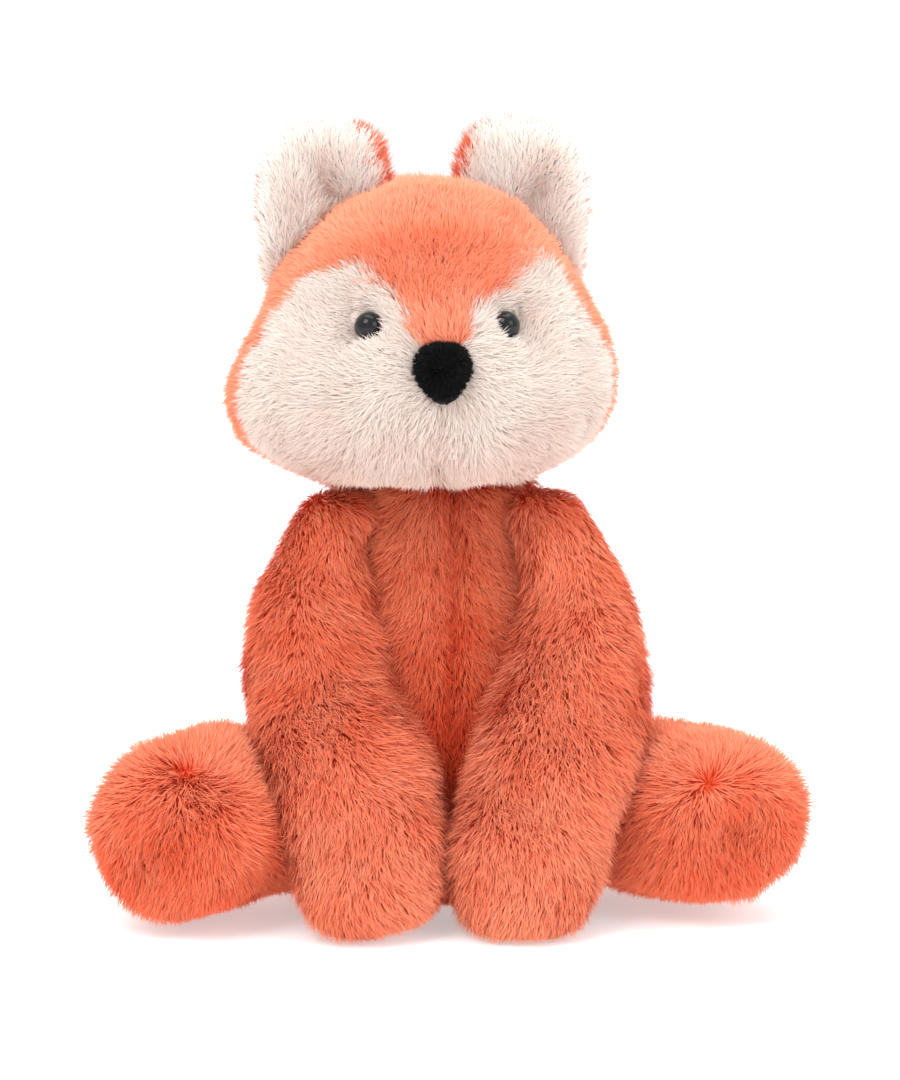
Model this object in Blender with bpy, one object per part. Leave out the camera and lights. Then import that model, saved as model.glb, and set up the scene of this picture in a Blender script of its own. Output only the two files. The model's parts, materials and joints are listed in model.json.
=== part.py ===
# Plush fox sitting with its paws on the floor, made of sewn plush panels over stuffing.
# The fox faces -Y, +Z is up, and the floor is z = 0. Left and right are as seen from its front.
import math

import bmesh
import bpy
import numpy as np
from mathutils import Matrix, Vector

# Cloth, seams and clearances
PLUSH = 0.006  # plush fabric with its pile pressed, so also the wall of every skin
GAP = 0.0003  # between pieces that touch
STUFFING_GAP = 0.00098  # between a skin and the fibre inside it
LIMB_GAP = 0.0008  # between a leg and the arm beside it
OVERRUN = 0.020  # how far cutters reach past what they cut
SEAM_SIDE_BACK = 0.004  # the side seams of the torso lie this far behind its middle

# Torso
NECK_HEIGHT = 0.138
TORSO_HALF_WIDTH = 0.0445
TORSO_FRONT = 0.040
TORSO_BACK = 0.042
TORSO_LEAN = -0.003  # sideways, at the neck
SEAT_HEIGHT = 0.009  # height of the seam round the seat panel
PELLET_HEIGHT = 0.038  # top of the bag of pellets
TORSO_TUCK = 0.012  # how far the rounded ends would run on past floor and neck

# Head, in its own frame: origin at the neck seam
HEAD_PLACE_X = -0.0085
HEAD_PLACE_Y = -0.006
HEAD_TURN = 6.0  # degrees, towards +X
HEAD_HEIGHT = 0.0995
HEAD_HALF_WIDTH = 0.0615
HEAD_FRONT = 0.054
HEAD_BACK = 0.046
HEAD_TUCK = 0.008
MUZZLE_OUT = 0.008
MUZZLE_SPREAD = 0.019
CHEEK_SEAM_FRONT = 0.008  # the cheeks' outer seam lies this far in front of the neck
CROWN_SEAM_BACK = 0.008  # the seam over the crown lies this far behind the neck

# Eyes and nose
EYE_RADIUS = 0.0048
EYE_X = 0.0233
EYE_PROUD = 0.0008  # how far the eye stands out of the pile
EYE_SINK = 0.0042  # depth of the pocket in the pile
EYE_SHANK_RADIUS = 0.0016
EYE_SHANK_TAIL = 0.0022
WASHER_RADIUS = 0.0052
WASHER_THICKNESS = 0.0012
NOSE_HALF_WIDTH = 0.0095
NOSE_HALF_HEIGHT = 0.0098
NOSE_DEPTH = 0.0078
NOSE_SINK = 0.0024
NOSE_CLOTH = 0.0015

# Ears
EAR_HALF_WIDTH = 0.0225
EAR_HEIGHT = 0.056
EAR_X = 0.0290
EAR_TIP_OUT = 0.001
EAR_BACK = 0.010
EAR_OUTER_THICKNESS = 0.0065
EAR_INNER_THICKNESS = 0.0055
EAR_CUP = 0.010  # how far the edges curl forward
EAR_RIM = 0.0022  # the inner panel is this much smaller all round
EAR_LAYER_GAP = 0.0012  # between the two curved panels, whose facets differ

# Arms, from the shoulder down to the paw
ARM_HALF_WIDTH = 0.0275
ARM_HALF_DEPTH = 0.0235
ARM_SHOULDER_X = 0.0405
ARM_PAW_X = 0.0238
ARM_TOP_DROP = 0.0015  # the arms end this far below the neck seam
ARM_TOP_FRONT = 0.012
ARM_REACH = 0.058  # how far the paw lies in front of the shoulder
ARM_SPREAD = 0.0035  # how far the elbow swings out
ARM_PAW_SINK = 0.0005
SHOULDER_DROP = 0.026  # the shoulders' axis lies this far below the neck seam
SHOULDER_FRONT = 0.014
ARMHOLE_RADIUS = 0.009
ARM_SWING = 50.0  # degrees, forwards and up

# Legs, from the hip out to the foot
LEG_HALF_WIDTH = 0.0325
LEG_HALF_DEPTH = 0.0350
HIP_PLANE = 0.0450  # the legs are sewn on flat against this plane
HIP_INSIDE = 0.012
HIP_HEIGHT = 0.0375
HIP_BACK = 0.012
THIGH_DROP = 0.008  # the thigh is thin and lies low, under its seam's axis
FOOT_X = 0.0845
FOOT_FRONT_LEFT = 0.056
FOOT_FRONT_RIGHT = 0.040  # this leg is splayed a little wider
FOOT_HEIGHT = 0.0335
FOOT_BALL = 0.022  # how far the foot runs on past its middle
FOOT_OUT_TURN = 14.0  # degrees, from straight ahead
LEG_SWING = 75.0  # degrees, down from sitting to standing
LEG_STOPS = 6  # places along the swing where the leg is cut clear of the arm
ARM_STOPS = 6  # the same along the arm's swing, where the first two come near the leg

# Tail, straight back from the seat
TAIL_RADIUS = 0.0255
TAIL_LENGTH = 0.120
TAIL_ROOT_INSIDE = 0.016
TAIL_HEIGHT = 0.0260
TAIL_TIP_RISE = 0.006
TAIL_TIP_LENGTH = 0.036
TAIL_SWING = 30.0  # degrees, each way

# Each table of shares runs evenly along its piece, from the first end to the last
TORSO_WIDTH_shares = (0.92, 1.00, 1.00, 0.97, 0.90, 0.83, 0.81, 0.88, 0.86)
TORSO_FRONT_shares = (0.90, 0.99, 1.00, 0.95, 0.85, 0.74, 0.66, 0.61, 0.60)
TORSO_BACK_shares = (0.90, 1.00, 1.00, 0.96, 0.88, 0.80, 0.72, 0.64, 0.60)
HEAD_WIDTH_shares = (0.60, 0.97, 1.06, 1.04, 0.97, 0.88, 0.79, 0.71, 0.63)
HEAD_FRONT_shares = (0.62, 0.92, 1.00, 1.01, 0.97, 0.90, 0.83, 0.78, 0.74)
HEAD_BACK_shares = (0.60, 0.85, 0.97, 1.02, 1.03, 1.00, 0.95, 0.88, 0.80)
ARM_WIDTH_shares = (0.62, 0.70, 0.79, 0.88, 0.97, 1.05, 1.10)
ARM_DEPTH_shares = (0.78, 0.82, 0.88, 0.95, 1.00, 1.02, 1.00)
LEG_WIDTH_shares = (0.96, 0.98, 0.95, 0.93, 0.98, 1.03, 1.02)
LEG_DEPTH_shares = (0.80, 0.79, 0.81, 0.87, 0.94, 0.99, 1.00)
TAIL_WIDTH_shares = (0.60, 0.84, 1.00, 1.03, 0.97, 0.80, 0.58)
EAR_WIDTH_shares = (0.90, 0.96, 1.00, 1.01, 1.00, 0.94, 0.86)
LIMB_fullness_share = 0.62
TORSO_fullness_share = 0.50
HEAD_fullness_share = 0.60
TAIL_fullness_share = 0.75
EAR_fullness_share = 0.60
SLOPE_share = 0.01  # how far apart two points lie that give a slope
MITRE_share = 0.5  # the least that a corner of an outline is allowed to lean in

# Path of an arm in rows: how far down, forwards, inwards and how much of the spread
ARM_PATH_shares = (
    (0.00, 0.00, 0.00, 0.0), (0.25, 0.14, 0.00, 0.6), (0.50, 0.42, 0.22, 1.0),
    (0.75, 0.82, 0.86, 0.2), (1.00, 1.00, 1.00, 0.0),
)

# Heights on the face and of the ears' feet, as shares of the head's height
MUZZLE_LEVEL_share = 0.3819
NOSE_LEVEL_share = 0.4221
EYE_LEVEL_share = 0.5688
EAR_LEVEL_share = 0.6030

# Seam of one cheek, as shares of the head's half width and of its height
CHEEK_shares = (
    (0.00, -0.20), (0.00, 0.50), (0.114, 0.518), (0.133, 0.583), (0.226, 0.650),
    (0.325, 0.700), (0.500, 0.724), (0.700, 0.663), (0.810, 0.583), (0.895, 0.490),
    (1.150, 0.400), (1.150, -0.20),
)

# Facets round and along each form; a cavity and its stuffing share theirs
HEAD_FACETS = (28, 18)
HEAD_CORE_FACETS = (18, 11)
TORSO_FACETS = (24, 14)
TORSO_CORE_FACETS = (16, 9)
LIMB_FACETS = (16, 13)
LIMB_CORE_FACETS = (10, 8)
EAR_FACETS = (12, 8)
SMALL_FACETS = (16, 8)
SHARP_EDGE = 50.0  # degrees

ORANGE = (0.80, 0.17, 0.07)
DARK_ORANGE = (0.62, 0.10, 0.04)
CREAM = (0.87, 0.74, 0.66)
BLACK_PLUSH = (0.012, 0.011, 0.010)
BLACK_PLASTIC = (0.008, 0.008, 0.009)
FIBRE = (0.85, 0.85, 0.83)
LINEN = (0.70, 0.66, 0.58)
NYLON = (0.80, 0.80, 0.78)

for old in list(bpy.data.objects):
    bpy.data.objects.remove(old)
parts = bpy.data.collections.new("plush_fox")
cutters = bpy.data.collections.new("cutters")
for group in (parts, cutters):
    bpy.context.scene.collection.children.link(group)


def material(name, colour, roughness):
    new = bpy.data.materials.new(name)
    new.use_nodes = True
    shader = new.node_tree.nodes["Principled BSDF"]
    shader.inputs["Base Color"].default_value = (*colour, 1.0)
    shader.inputs["Roughness"].default_value = roughness
    shader.inputs["Metallic"].default_value = 0.0
    return new


def empty(name, place, turn=0.0):
    """A pivot that pieces hang from: head, shoulders, hips and tail each have one."""
    pivot = bpy.data.objects.new(name, None)
    pivot.location = place
    pivot.rotation_euler = (0.0, 0.0, math.radians(turn))
    parts.objects.link(pivot)
    return pivot


def solid(name, bm, finish=None, pivot=None):
    """Make an object from a bmesh in world coordinates, or in the head's own frame."""
    mesh = bpy.data.meshes.new(name)
    bmesh.ops.recalc_face_normals(bm, faces=bm.faces)
    bm.to_mesh(mesh)
    bm.free()
    mesh.shade_smooth()
    made = bpy.data.objects.new(name, mesh)
    if finish is None:
        cutters.objects.link(made)
        made.hide_render = True
        made.display_type = "WIRE"
    else:
        parts.objects.link(made)
        own = finish.copy()
        own.name = name
        mesh.materials.append(own)
        mesh.set_sharp_from_angle(angle=math.radians(SHARP_EDGE))
    if pivot:
        made.parent = pivot
        if pivot is not head_pivot:
            made.data.transform(Matrix.Translation(-pivot.location))
    return made


def cut(target, *cutting, operation="DIFFERENCE"):
    for cutter in cutting:
        step = target.modifiers.new(cutter.name, "BOOLEAN")
        step.operation = operation
        step.solver = "EXACT"
        step.object = cutter


def smooth(table, share):
    """The value at a share of the way along evenly spaced rows, on a curve through them."""
    rows = np.asarray(table, dtype=float)
    at = min(max(share, 0.0), 1.0) * (len(rows) - 1)
    i = min(int(at), len(rows) - 2)
    t = at - i
    before, after = rows[max(i - 1, 0)], rows[min(i + 2, len(rows) - 1)]
    a, b = rows[i], rows[i + 1]
    return (
        a
        + (b - before) * t / 2
        + (2 * before - 5 * a + 4 * b - after) * t**2 / 2
        + (3 * a - before - 3 * b + after) * t**3 / 2
    )


def stuffed_form(spine, widths, fronts, backs, fullness, facets, inset=0.0):
    """A round form that swells and tapers along a spine, from a sphere laid along it.

    An inset makes the same form smaller all round.
    """
    points = [np.asarray(p) for p in spine]
    length = sum(np.linalg.norm(b - a) for a, b in zip(points, points[1:]))
    first = inset / length
    last = 1.0 - first
    bm = bmesh.new()
    bmesh.ops.create_uvsphere(bm, u_segments=facets[0], v_segments=facets[1], radius=1.0)
    for vertex in bm.verts:
        share = first + (last - first) * (1.0 + vertex.co.z) / 2.0
        centre = Vector(smooth(points, share))
        ahead = smooth(points, min(share + SLOPE_share, 1.0))
        behind = smooth(points, max(share - SLOPE_share, 0.0))
        tangent = Vector(ahead - behind).normalized()
        across = Vector((1.0, 0.0, 0.0))
        across = (across - tangent * across.dot(tangent)).normalized()
        fore = tangent.cross(across)
        swell = vertex.co.xy.length**fullness
        dx, dy = vertex.co.xy.normalized()
        depths = fronts if dy < 0.0 else backs
        width = max(float(smooth(widths, share)) - inset, 0.0) * swell
        depth = max(float(smooth(depths, share)) - inset, 0.0) * swell
        vertex.co = centre + across * (dx * width) + fore * (dy * depth)
    return bm


def slice_flat(bm, place, normal):
    """Cut a closed form flat: what lies beyond the plane, along its normal, goes."""
    geometry = bm.verts[:] + bm.edges[:] + bm.faces[:]
    made = bmesh.ops.bisect_plane(
        bm, geom=geometry, plane_co=place, plane_no=normal, clear_outer=True
    )
    rim = [g for g in made["geom_cut"] if isinstance(g, bmesh.types.BMEdge)]
    bmesh.ops.contextual_create(bm, geom=rim)
    return bm


def box(name, low, high, pivot=None):
    bm = bmesh.new()
    bmesh.ops.create_cube(bm, size=1.0)
    size = Vector(high) - Vector(low)
    for vertex in bm.verts:
        vertex.co = Vector(low) + Vector(c * (v + 0.5) for c, v in zip(size, vertex.co))
    return solid(name, bm, None, pivot)


def rod(radius, start, end, bm=None, segments=SMALL_FACETS[0]):
    """A cylinder between two points."""
    bm = bm or bmesh.new()
    way = Vector(end) - Vector(start)
    turn = way.to_track_quat("Z", "Y").to_matrix().to_4x4()
    middle = (Vector(start) + Vector(end)) / 2
    bmesh.ops.create_cone(
        bm, cap_ends=True, segments=segments, radius1=radius, radius2=radius,
        depth=way.length, matrix=Matrix.Translation(middle) @ turn,
    )
    return bm


def sized(shares, size):
    return [share * size for share in shares]


orange = material("orange_plush", ORANGE, 0.95)
dark_orange = material("dark_orange_plush", DARK_ORANGE, 0.95)
cream = material("cream_plush", CREAM, 0.95)
black_plush = material("black_plush", BLACK_PLUSH, 0.9)
black_plastic = material("black_plastic", BLACK_PLASTIC, 0.08)
fibre = material("fibre", FIBRE, 1.0)
linen = material("linen", LINEN, 0.9)
nylon = material("nylon", NYLON, 0.5)

UP, DOWN = Vector((0.0, 0.0, 1.0)), Vector((0.0, 0.0, -1.0))
ARM_TOP_HEIGHT = NECK_HEIGHT - ARM_TOP_DROP
SHOULDER_HEIGHT = NECK_HEIGHT - SHOULDER_DROP
MUZZLE_HEIGHT = HEAD_HEIGHT * MUZZLE_LEVEL_share
NOSE_HEIGHT = HEAD_HEIGHT * NOSE_LEVEL_share
EYE_HEIGHT = HEAD_HEIGHT * EYE_LEVEL_share
EAR_FOOT_HEIGHT = HEAD_HEIGHT * EAR_LEVEL_share
FLOOR = Vector((0.0, 0.0, 0.0))
NECK = Vector((0.0, 0.0, NECK_HEIGHT))
head_pivot = empty("head_pivot", (HEAD_PLACE_X, HEAD_PLACE_Y, NECK_HEIGHT), HEAD_TURN)


# Torso: four sides, a seat, a bag of pellets and stuffing above it
def torso_form(facets, inset=0.0, floor=FLOOR, grow=0.0):
    run = NECK_HEIGHT + TORSO_TUCK * 2
    rows = [(TORSO_LEAN * k / 4, 0.0, -TORSO_TUCK + run * k / 4) for k in range(5)]
    bm = stuffed_form(
        rows,
        sized(TORSO_WIDTH_shares, TORSO_HALF_WIDTH),
        sized(TORSO_FRONT_shares, TORSO_FRONT),
        sized(TORSO_BACK_shares, TORSO_BACK),
        TORSO_fullness_share, facets, inset - grow,
    )
    slice_flat(bm, floor, DOWN)
    return bm


def make_torso():
    core_floor = FLOOR + UP * PLUSH
    cavity = solid("torso_cavity", torso_form(TORSO_CORE_FACETS, PLUSH, core_floor))
    far = TORSO_HALF_WIDTH + OVERRUN
    low, top = SEAT_HEIGHT + GAP, NECK_HEIGHT
    seam = SEAM_SIDE_BACK
    half = GAP / 2
    rooms = {
        "torso_front_left": ((-far, -far, low), (-half, seam - half, top), dark_orange),
        "torso_front_right": ((half, -far, low), (far, seam - half, top), dark_orange),
        "torso_back_left": ((-far, seam + half, low), (-half, far, top), orange),
        "torso_back_right": ((half, seam + half, low), (far, far, top), orange),
        "torso_seat": ((-far, -far, -OVERRUN), (far, far, SEAT_HEIGHT), orange),
    }
    for name, (start, end, finish) in rooms.items():
        panel = solid(name, torso_form(TORSO_FACETS), finish)
        cut(panel, cavity)
        cut(panel, box(name + "_room", start, end), operation="INTERSECT")
    bag = torso_form(TORSO_CORE_FACETS, PLUSH + STUFFING_GAP, core_floor + UP * GAP)
    slice_flat(bag, UP * PELLET_HEIGHT, UP)
    solid("pellet_bag", bag, linen)
    stuffing = torso_form(TORSO_CORE_FACETS, PLUSH + STUFFING_GAP, UP * (PELLET_HEIGHT + GAP))
    slice_flat(stuffing, NECK, UP)
    solid("torso_stuffing", stuffing, fibre)


# Head: crown, two cheeks, two back panels and stuffing, all in the head's own frame
def head_rows():
    run = HEAD_HEIGHT + HEAD_TUCK
    return [(0.0, 0.0, -HEAD_TUCK + run * k / 2) for k in range(3)]


def muzzle(x, z):
    away = (x**2 + (z - MUZZLE_HEIGHT) ** 2) / (2 * MUZZLE_SPREAD**2)
    return MUZZLE_OUT * math.exp(-away)


def head_form(facets, inset=0.0, floor=GAP):
    bm = stuffed_form(
        head_rows(),
        sized(HEAD_WIDTH_shares, HEAD_HALF_WIDTH),
        sized(HEAD_FRONT_shares, HEAD_FRONT),
        sized(HEAD_BACK_shares, HEAD_BACK),
        HEAD_fullness_share, facets, inset,
    )
    for vertex in bm.verts:
        if vertex.co.y < 0.0:
            nearness = min(-vertex.co.y / HEAD_FRONT, 1.0)
            vertex.co.y -= muzzle(vertex.co.x, vertex.co.z) * nearness
    if floor is not None:
        slice_flat(bm, UP * floor, DOWN)
    return bm


def face_point(x, z):
    """Where the head's front surface lies at a place seen from the front, and its normal."""
    def depth(x, z):
        share = (z + HEAD_TUCK) / (HEAD_HEIGHT + HEAD_TUCK)
        swell = (1.0 - (2.0 * share - 1.0) ** 2) ** (HEAD_fullness_share / 2)
        width = float(smooth(HEAD_WIDTH_shares, share)) * HEAD_HALF_WIDTH * swell
        front = float(smooth(HEAD_FRONT_shares, share)) * HEAD_FRONT * swell
        out = front * math.sqrt(1.0 - (x / width) ** 2)
        return -out - muzzle(x, z) * min(out / HEAD_FRONT, 1.0)

    step = HEAD_HALF_WIDTH * SLOPE_share
    slope_x = (depth(x + step, z) - depth(x - step, z)) / (2 * step)
    slope_z = (depth(x, z + step) - depth(x, z - step)) / (2 * step)
    return Vector((x, depth(x, z), z)), Vector((slope_x, -1.0, slope_z)).normalized()


def cheek_room(name, side, clearance):
    """The space of one cheek, seen from the front: an outline pushed straight back."""
    points = [Vector((x * HEAD_HALF_WIDTH, z * HEAD_HEIGHT)) for x, z in CHEEK_shares]
    moved = []
    for i, point in enumerate(points):
        before, after = points[i - 1], points[(i + 1) % len(points)]
        normals = []
        for a, b in ((before, point), (point, after)):
            way = (b - a).normalized()
            normals.append(Vector((way.y, -way.x)))
        inward = (normals[0] + normals[1]).normalized()
        moved.append(point + inward * (clearance / max(inward.dot(normals[0]), MITRE_share)))
    front = -HEAD_FRONT - MUZZLE_OUT - OVERRUN
    bm = bmesh.new()
    face = bm.faces.new([bm.verts.new((side * p.x, front, p.y)) for p in moved])
    pushed = bmesh.ops.extrude_face_region(bm, geom=[face])
    back = -CHEEK_SEAM_FRONT - clearance
    for vertex in (g for g in pushed["geom"] if isinstance(g, bmesh.types.BMVert)):
        vertex.co.y = back
    return solid(name, bm, None, head_pivot)


def make_head():
    cavity = solid("head_cavity", head_form(HEAD_CORE_FACETS, PLUSH, None), None, head_pivot)
    far = HEAD_HALF_WIDTH + OVERRUN
    top = HEAD_HEIGHT + OVERRUN
    seam = CROWN_SEAM_BACK
    stuffing = solid(
        "head_stuffing", head_form(HEAD_CORE_FACETS, PLUSH + STUFFING_GAP), fibre, head_pivot
    )
    crown = solid("head_crown", head_form(HEAD_FACETS), orange, head_pivot)
    cut(crown, cavity)
    front_room = box("crown_room", (-far, -far, -OVERRUN), (far, seam, top), head_pivot)
    cut(crown, front_room, operation="INTERSECT")
    for side, word in ((-1, "left"), (1, "right")):
        cut(crown, cheek_room("cheek_cut_" + word, side, 0.0))
        cheek = solid("cheek_" + word, head_form(HEAD_FACETS), cream, head_pivot)
        cut(cheek, cavity)
        room = cheek_room("cheek_room_" + word, side, GAP)
        cut(cheek, room, operation="INTERSECT")
        make_eye(side, word, cheek, stuffing)
        back = solid("head_back_" + word, head_form(HEAD_FACETS), orange, head_pivot)
        cut(back, cavity)
        near, wide = sorted((side * GAP / 2, side * far))
        room = box("back_room_" + word, (near, seam + GAP, -OVERRUN), (wide, far, top), head_pivot)
        cut(back, room, operation="INTERSECT")


def make_eye(side, word, cheek, stuffing):
    """A plastic eye on a ribbed shank, in a pocket of the pile, held by a washer inside."""
    surface, normal = face_point(side * EYE_X, EYE_HEIGHT)
    seat = surface - normal * EYE_SINK
    inner = surface - normal * PLUSH
    end = inner - normal * (WASHER_THICKNESS + EYE_SHANK_TAIL)
    turn = normal.to_track_quat("Z", "Y").to_matrix().to_4x4()
    bm = bmesh.new()
    bmesh.ops.create_uvsphere(
        bm, u_segments=SMALL_FACETS[0], v_segments=SMALL_FACETS[1], radius=EYE_RADIUS
    )
    slice_flat(bm, FLOOR, DOWN)
    height = EYE_SINK + EYE_PROUD - GAP
    for vertex in bm.verts:
        vertex.co.z *= height / EYE_RADIUS
    bm.transform(Matrix.Translation(seat + normal * GAP) @ turn)
    eye = solid("eye_" + word, bm, black_plastic, head_pivot)
    shank = rod(EYE_SHANK_RADIUS, seat + normal * (GAP + height / 2), end)
    cut(eye, solid("shank_" + word, shank, None, head_pivot), operation="UNION")
    pocket = rod(EYE_RADIUS + GAP, seat, surface + normal * OVERRUN)
    cut(cheek, solid("eye_pocket_" + word, pocket, None, head_pivot))
    hole = rod(EYE_SHANK_RADIUS + GAP, end - normal * GAP, surface)
    hole = solid("shank_hole_" + word, hole, None, head_pivot)
    cut(cheek, hole)
    start = inner - normal * (GAP + WASHER_THICKNESS / 2)
    washer = rod(WASHER_RADIUS, start, start - normal * WASHER_THICKNESS)
    washer = solid("eye_washer_" + word, washer, nylon, head_pivot)
    cut(washer, hole)
    room = rod(WASHER_RADIUS + GAP, surface, end - normal * GAP)
    cut(stuffing, solid("washer_room_" + word, room, None, head_pivot))


def make_nose():
    surface, _ = face_point(0.0, NOSE_HEIGHT)
    centre = surface + Vector((0.0, NOSE_SINK, 0.0))
    head_room = solid("nose_seat", head_form(HEAD_FACETS, -GAP, None), None, head_pivot)

    def pad(name, inset, finish):
        bm = bmesh.new()
        bmesh.ops.create_uvsphere(
            bm, u_segments=SMALL_FACETS[0], v_segments=SMALL_FACETS[1], radius=1.0
        )
        sizes = (NOSE_HALF_WIDTH, NOSE_DEPTH, NOSE_HALF_HEIGHT)
        for vertex in bm.verts:
            vertex.co = Vector(c * (size - inset) for c, size in zip(vertex.co, sizes))
        bm.transform(Matrix.Translation(centre))
        return solid(name, bm, finish, head_pivot)

    cut(pad("nose_cover", 0.0, black_plush), head_room, pad("nose_cavity", NOSE_CLOTH, None))
    cut(pad("nose_stuffing", NOSE_CLOTH + GAP, fibre), head_room)


def ear_form(side, width, front, back, shift):
    foot = (side * EAR_X, EAR_BACK, EAR_FOOT_HEIGHT)
    tip = (side * (EAR_X + EAR_TIP_OUT), EAR_BACK, EAR_FOOT_HEIGHT + EAR_HEIGHT)
    widths = sized(EAR_WIDTH_shares, width)
    run = [tuple(np.add(foot, np.subtract(tip, foot) * k / 2)) for k in range(3)]
    bm = stuffed_form(run, widths, [front] * 3, [back] * 3, EAR_fullness_share, EAR_FACETS)
    for vertex in bm.verts:
        off = (vertex.co.x - side * EAR_X) / EAR_HALF_WIDTH
        vertex.co.y += shift - EAR_CUP * off**2
    return bm


def make_ears():
    head_room = solid("ear_seat", head_form(HEAD_FACETS, -GAP, None), None, head_pivot)
    for side, word in ((-1, "left"), (1, "right")):
        outer = ear_form(side, EAR_HALF_WIDTH, 0.0, EAR_OUTER_THICKNESS, EAR_LAYER_GAP / 2)
        inner_width = EAR_HALF_WIDTH - EAR_RIM
        inner = ear_form(side, inner_width, EAR_INNER_THICKNESS, 0.0, -EAR_LAYER_GAP / 2)
        cut(solid(f"ear_{word}_outer", outer, orange, head_pivot), head_room)
        cut(solid(f"ear_{word}_inner", inner, cream, head_pivot), head_room)


# Arms: a skin open at the armhole, and its stuffing
def arm_form(side, facets, inset=0.0):
    drop = ARM_TOP_HEIGHT + ARM_PAW_SINK
    rows = []
    for down, front, inwards, swing in ARM_PATH_shares:
        x = ARM_SHOULDER_X + (ARM_PAW_X - ARM_SHOULDER_X) * inwards + ARM_SPREAD * swing
        y = -ARM_TOP_FRONT - ARM_REACH * front
        z = ARM_TOP_HEIGHT - drop * down
        rows.append((side * x + TORSO_LEAN * (1.0 - down), y, z))
    depths = sized(ARM_DEPTH_shares, ARM_HALF_DEPTH)
    bm = stuffed_form(
        rows, sized(ARM_WIDTH_shares, ARM_HALF_WIDTH), depths, depths,
        LIMB_fullness_share, facets, inset,
    )
    slice_flat(bm, FLOOR + UP * max(inset, 0.0), DOWN)
    middle = Vector((side * (GAP / 2 + max(inset, 0.0)), 0.0, 0.0))
    slice_flat(bm, middle, Vector((-side, 0.0, 0.0)))
    return bm


def turned_copy(original, name, place, axis, degrees):
    """A second cutter that shares the first one's mesh, turned about a joint."""
    twin = bpy.data.objects.new(name, original.data)
    spot = Matrix.Translation(place)
    twin.matrix_world = spot @ Matrix.Rotation(math.radians(degrees), 4, axis) @ spot.inverted()
    twin.hide_render = True
    twin.display_type = "WIRE"
    cutters.objects.link(twin)
    return twin


def shoulder_point(side):
    return Vector((side * ARM_SHOULDER_X + TORSO_LEAN, -SHOULDER_FRONT, SHOULDER_HEIGHT))


def make_arms(torso_room):
    for side, word in ((-1, "left"), (1, "right")):
        shoulder = shoulder_point(side)
        pivot = empty("shoulder_" + word, shoulder)
        rooms = [torso_room]
        for degrees in (ARM_SWING / 2, ARM_SWING):
            name = f"torso_from_arm_{word}_{degrees:.0f}"
            rooms.append(turned_copy(torso_room, name, shoulder, "X", degrees))
        skin = solid("arm_" + word, arm_form(side, LIMB_FACETS), orange, pivot)
        cavity = solid("arm_cavity_" + word, arm_form(side, LIMB_CORE_FACETS, PLUSH))
        inwards = Vector((-side * (ARM_HALF_WIDTH + OVERRUN), 0.0, 0.0))
        armhole = solid("armhole_" + word, rod(ARMHOLE_RADIUS, shoulder, shoulder + inwards))
        cut(skin, cavity, armhole, *rooms)
        stuffing = arm_form(side, LIMB_CORE_FACETS, PLUSH + STUFFING_GAP)
        cut(solid(f"arm_{word}_stuffing", stuffing, fibre, pivot), *rooms)


# Legs: a skin open at the hip, and its stuffing
def leg_form(side, facets, inset=0.0):
    start = Vector((HIP_PLANE - HIP_INSIDE, HIP_BACK, HIP_HEIGHT - THIGH_DROP))
    front = FOOT_FRONT_LEFT if side < 0 else FOOT_FRONT_RIGHT
    foot = Vector((FOOT_X, -front, FOOT_HEIGHT))
    turn = math.radians(FOOT_OUT_TURN)
    end = foot + Vector((math.sin(turn), -math.cos(turn), 0.0)) * FOOT_BALL
    points = [start.lerp(foot, k / 3) for k in range(4)] + [end]
    rows = [(side * point.x, point.y, point.z) for point in points]
    widths = sized(LEG_WIDTH_shares, LEG_HALF_WIDTH)
    depths = sized(LEG_DEPTH_shares, LEG_HALF_DEPTH)
    bm = stuffed_form(rows, widths, depths, depths, LIMB_fullness_share, facets, inset)
    slice_flat(bm, FLOOR + UP * max(inset, 0.0), DOWN)
    if inset != PLUSH:
        plane = Vector((side * (HIP_PLANE + GAP), 0.0, 0.0))
        slice_flat(bm, plane, Vector((-side, 0.0, 0.0)))
    return bm


def make_legs():
    for side, word in ((-1, "left"), (1, "right")):
        hip = Vector((side * HIP_PLANE, 0.0, HIP_HEIGHT))
        pivot = empty("hip_" + word, hip)
        arm_room = solid("arm_room_" + word, arm_form(side, LIMB_FACETS, -LIMB_GAP))
        rooms = [arm_room]
        for k in range(1, LEG_STOPS + 1):
            name, degrees = f"arm_{word}_passed_{k}", -LEG_SWING * k / LEG_STOPS
            rooms.append(turned_copy(arm_room, name, hip, "X", degrees))
        for k in (1, 2):
            name, degrees = f"arm_{word}_raised_{k}", -ARM_SWING * k / ARM_STOPS
            rooms.append(turned_copy(arm_room, name, shoulder_point(side), "X", degrees))
        skin = solid("leg_" + word, leg_form(side, LIMB_FACETS), orange, pivot)
        cavity = solid("leg_cavity_" + word, leg_form(side, LIMB_CORE_FACETS, PLUSH))
        cut(skin, cavity, *rooms)
        stuffing = leg_form(side, LIMB_CORE_FACETS, PLUSH + STUFFING_GAP)
        cut(solid(f"leg_{word}_stuffing", stuffing, fibre, pivot), *rooms)


# Tail: an orange skin, a cream tip and stuffing
def tail_form(facets, inset=0.0):
    start = TORSO_BACK - TAIL_ROOT_INSIDE
    rows = [
        (0.0, start + TAIL_LENGTH * k / 3, TAIL_HEIGHT + TAIL_TIP_RISE * (k / 3) ** 2)
        for k in range(4)
    ]
    widths = sized(TAIL_WIDTH_shares, TAIL_RADIUS)
    bm = stuffed_form(rows, widths, widths, widths, TAIL_fullness_share, facets, inset)
    slice_flat(bm, FLOOR + UP * inset, DOWN)
    return bm


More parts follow.
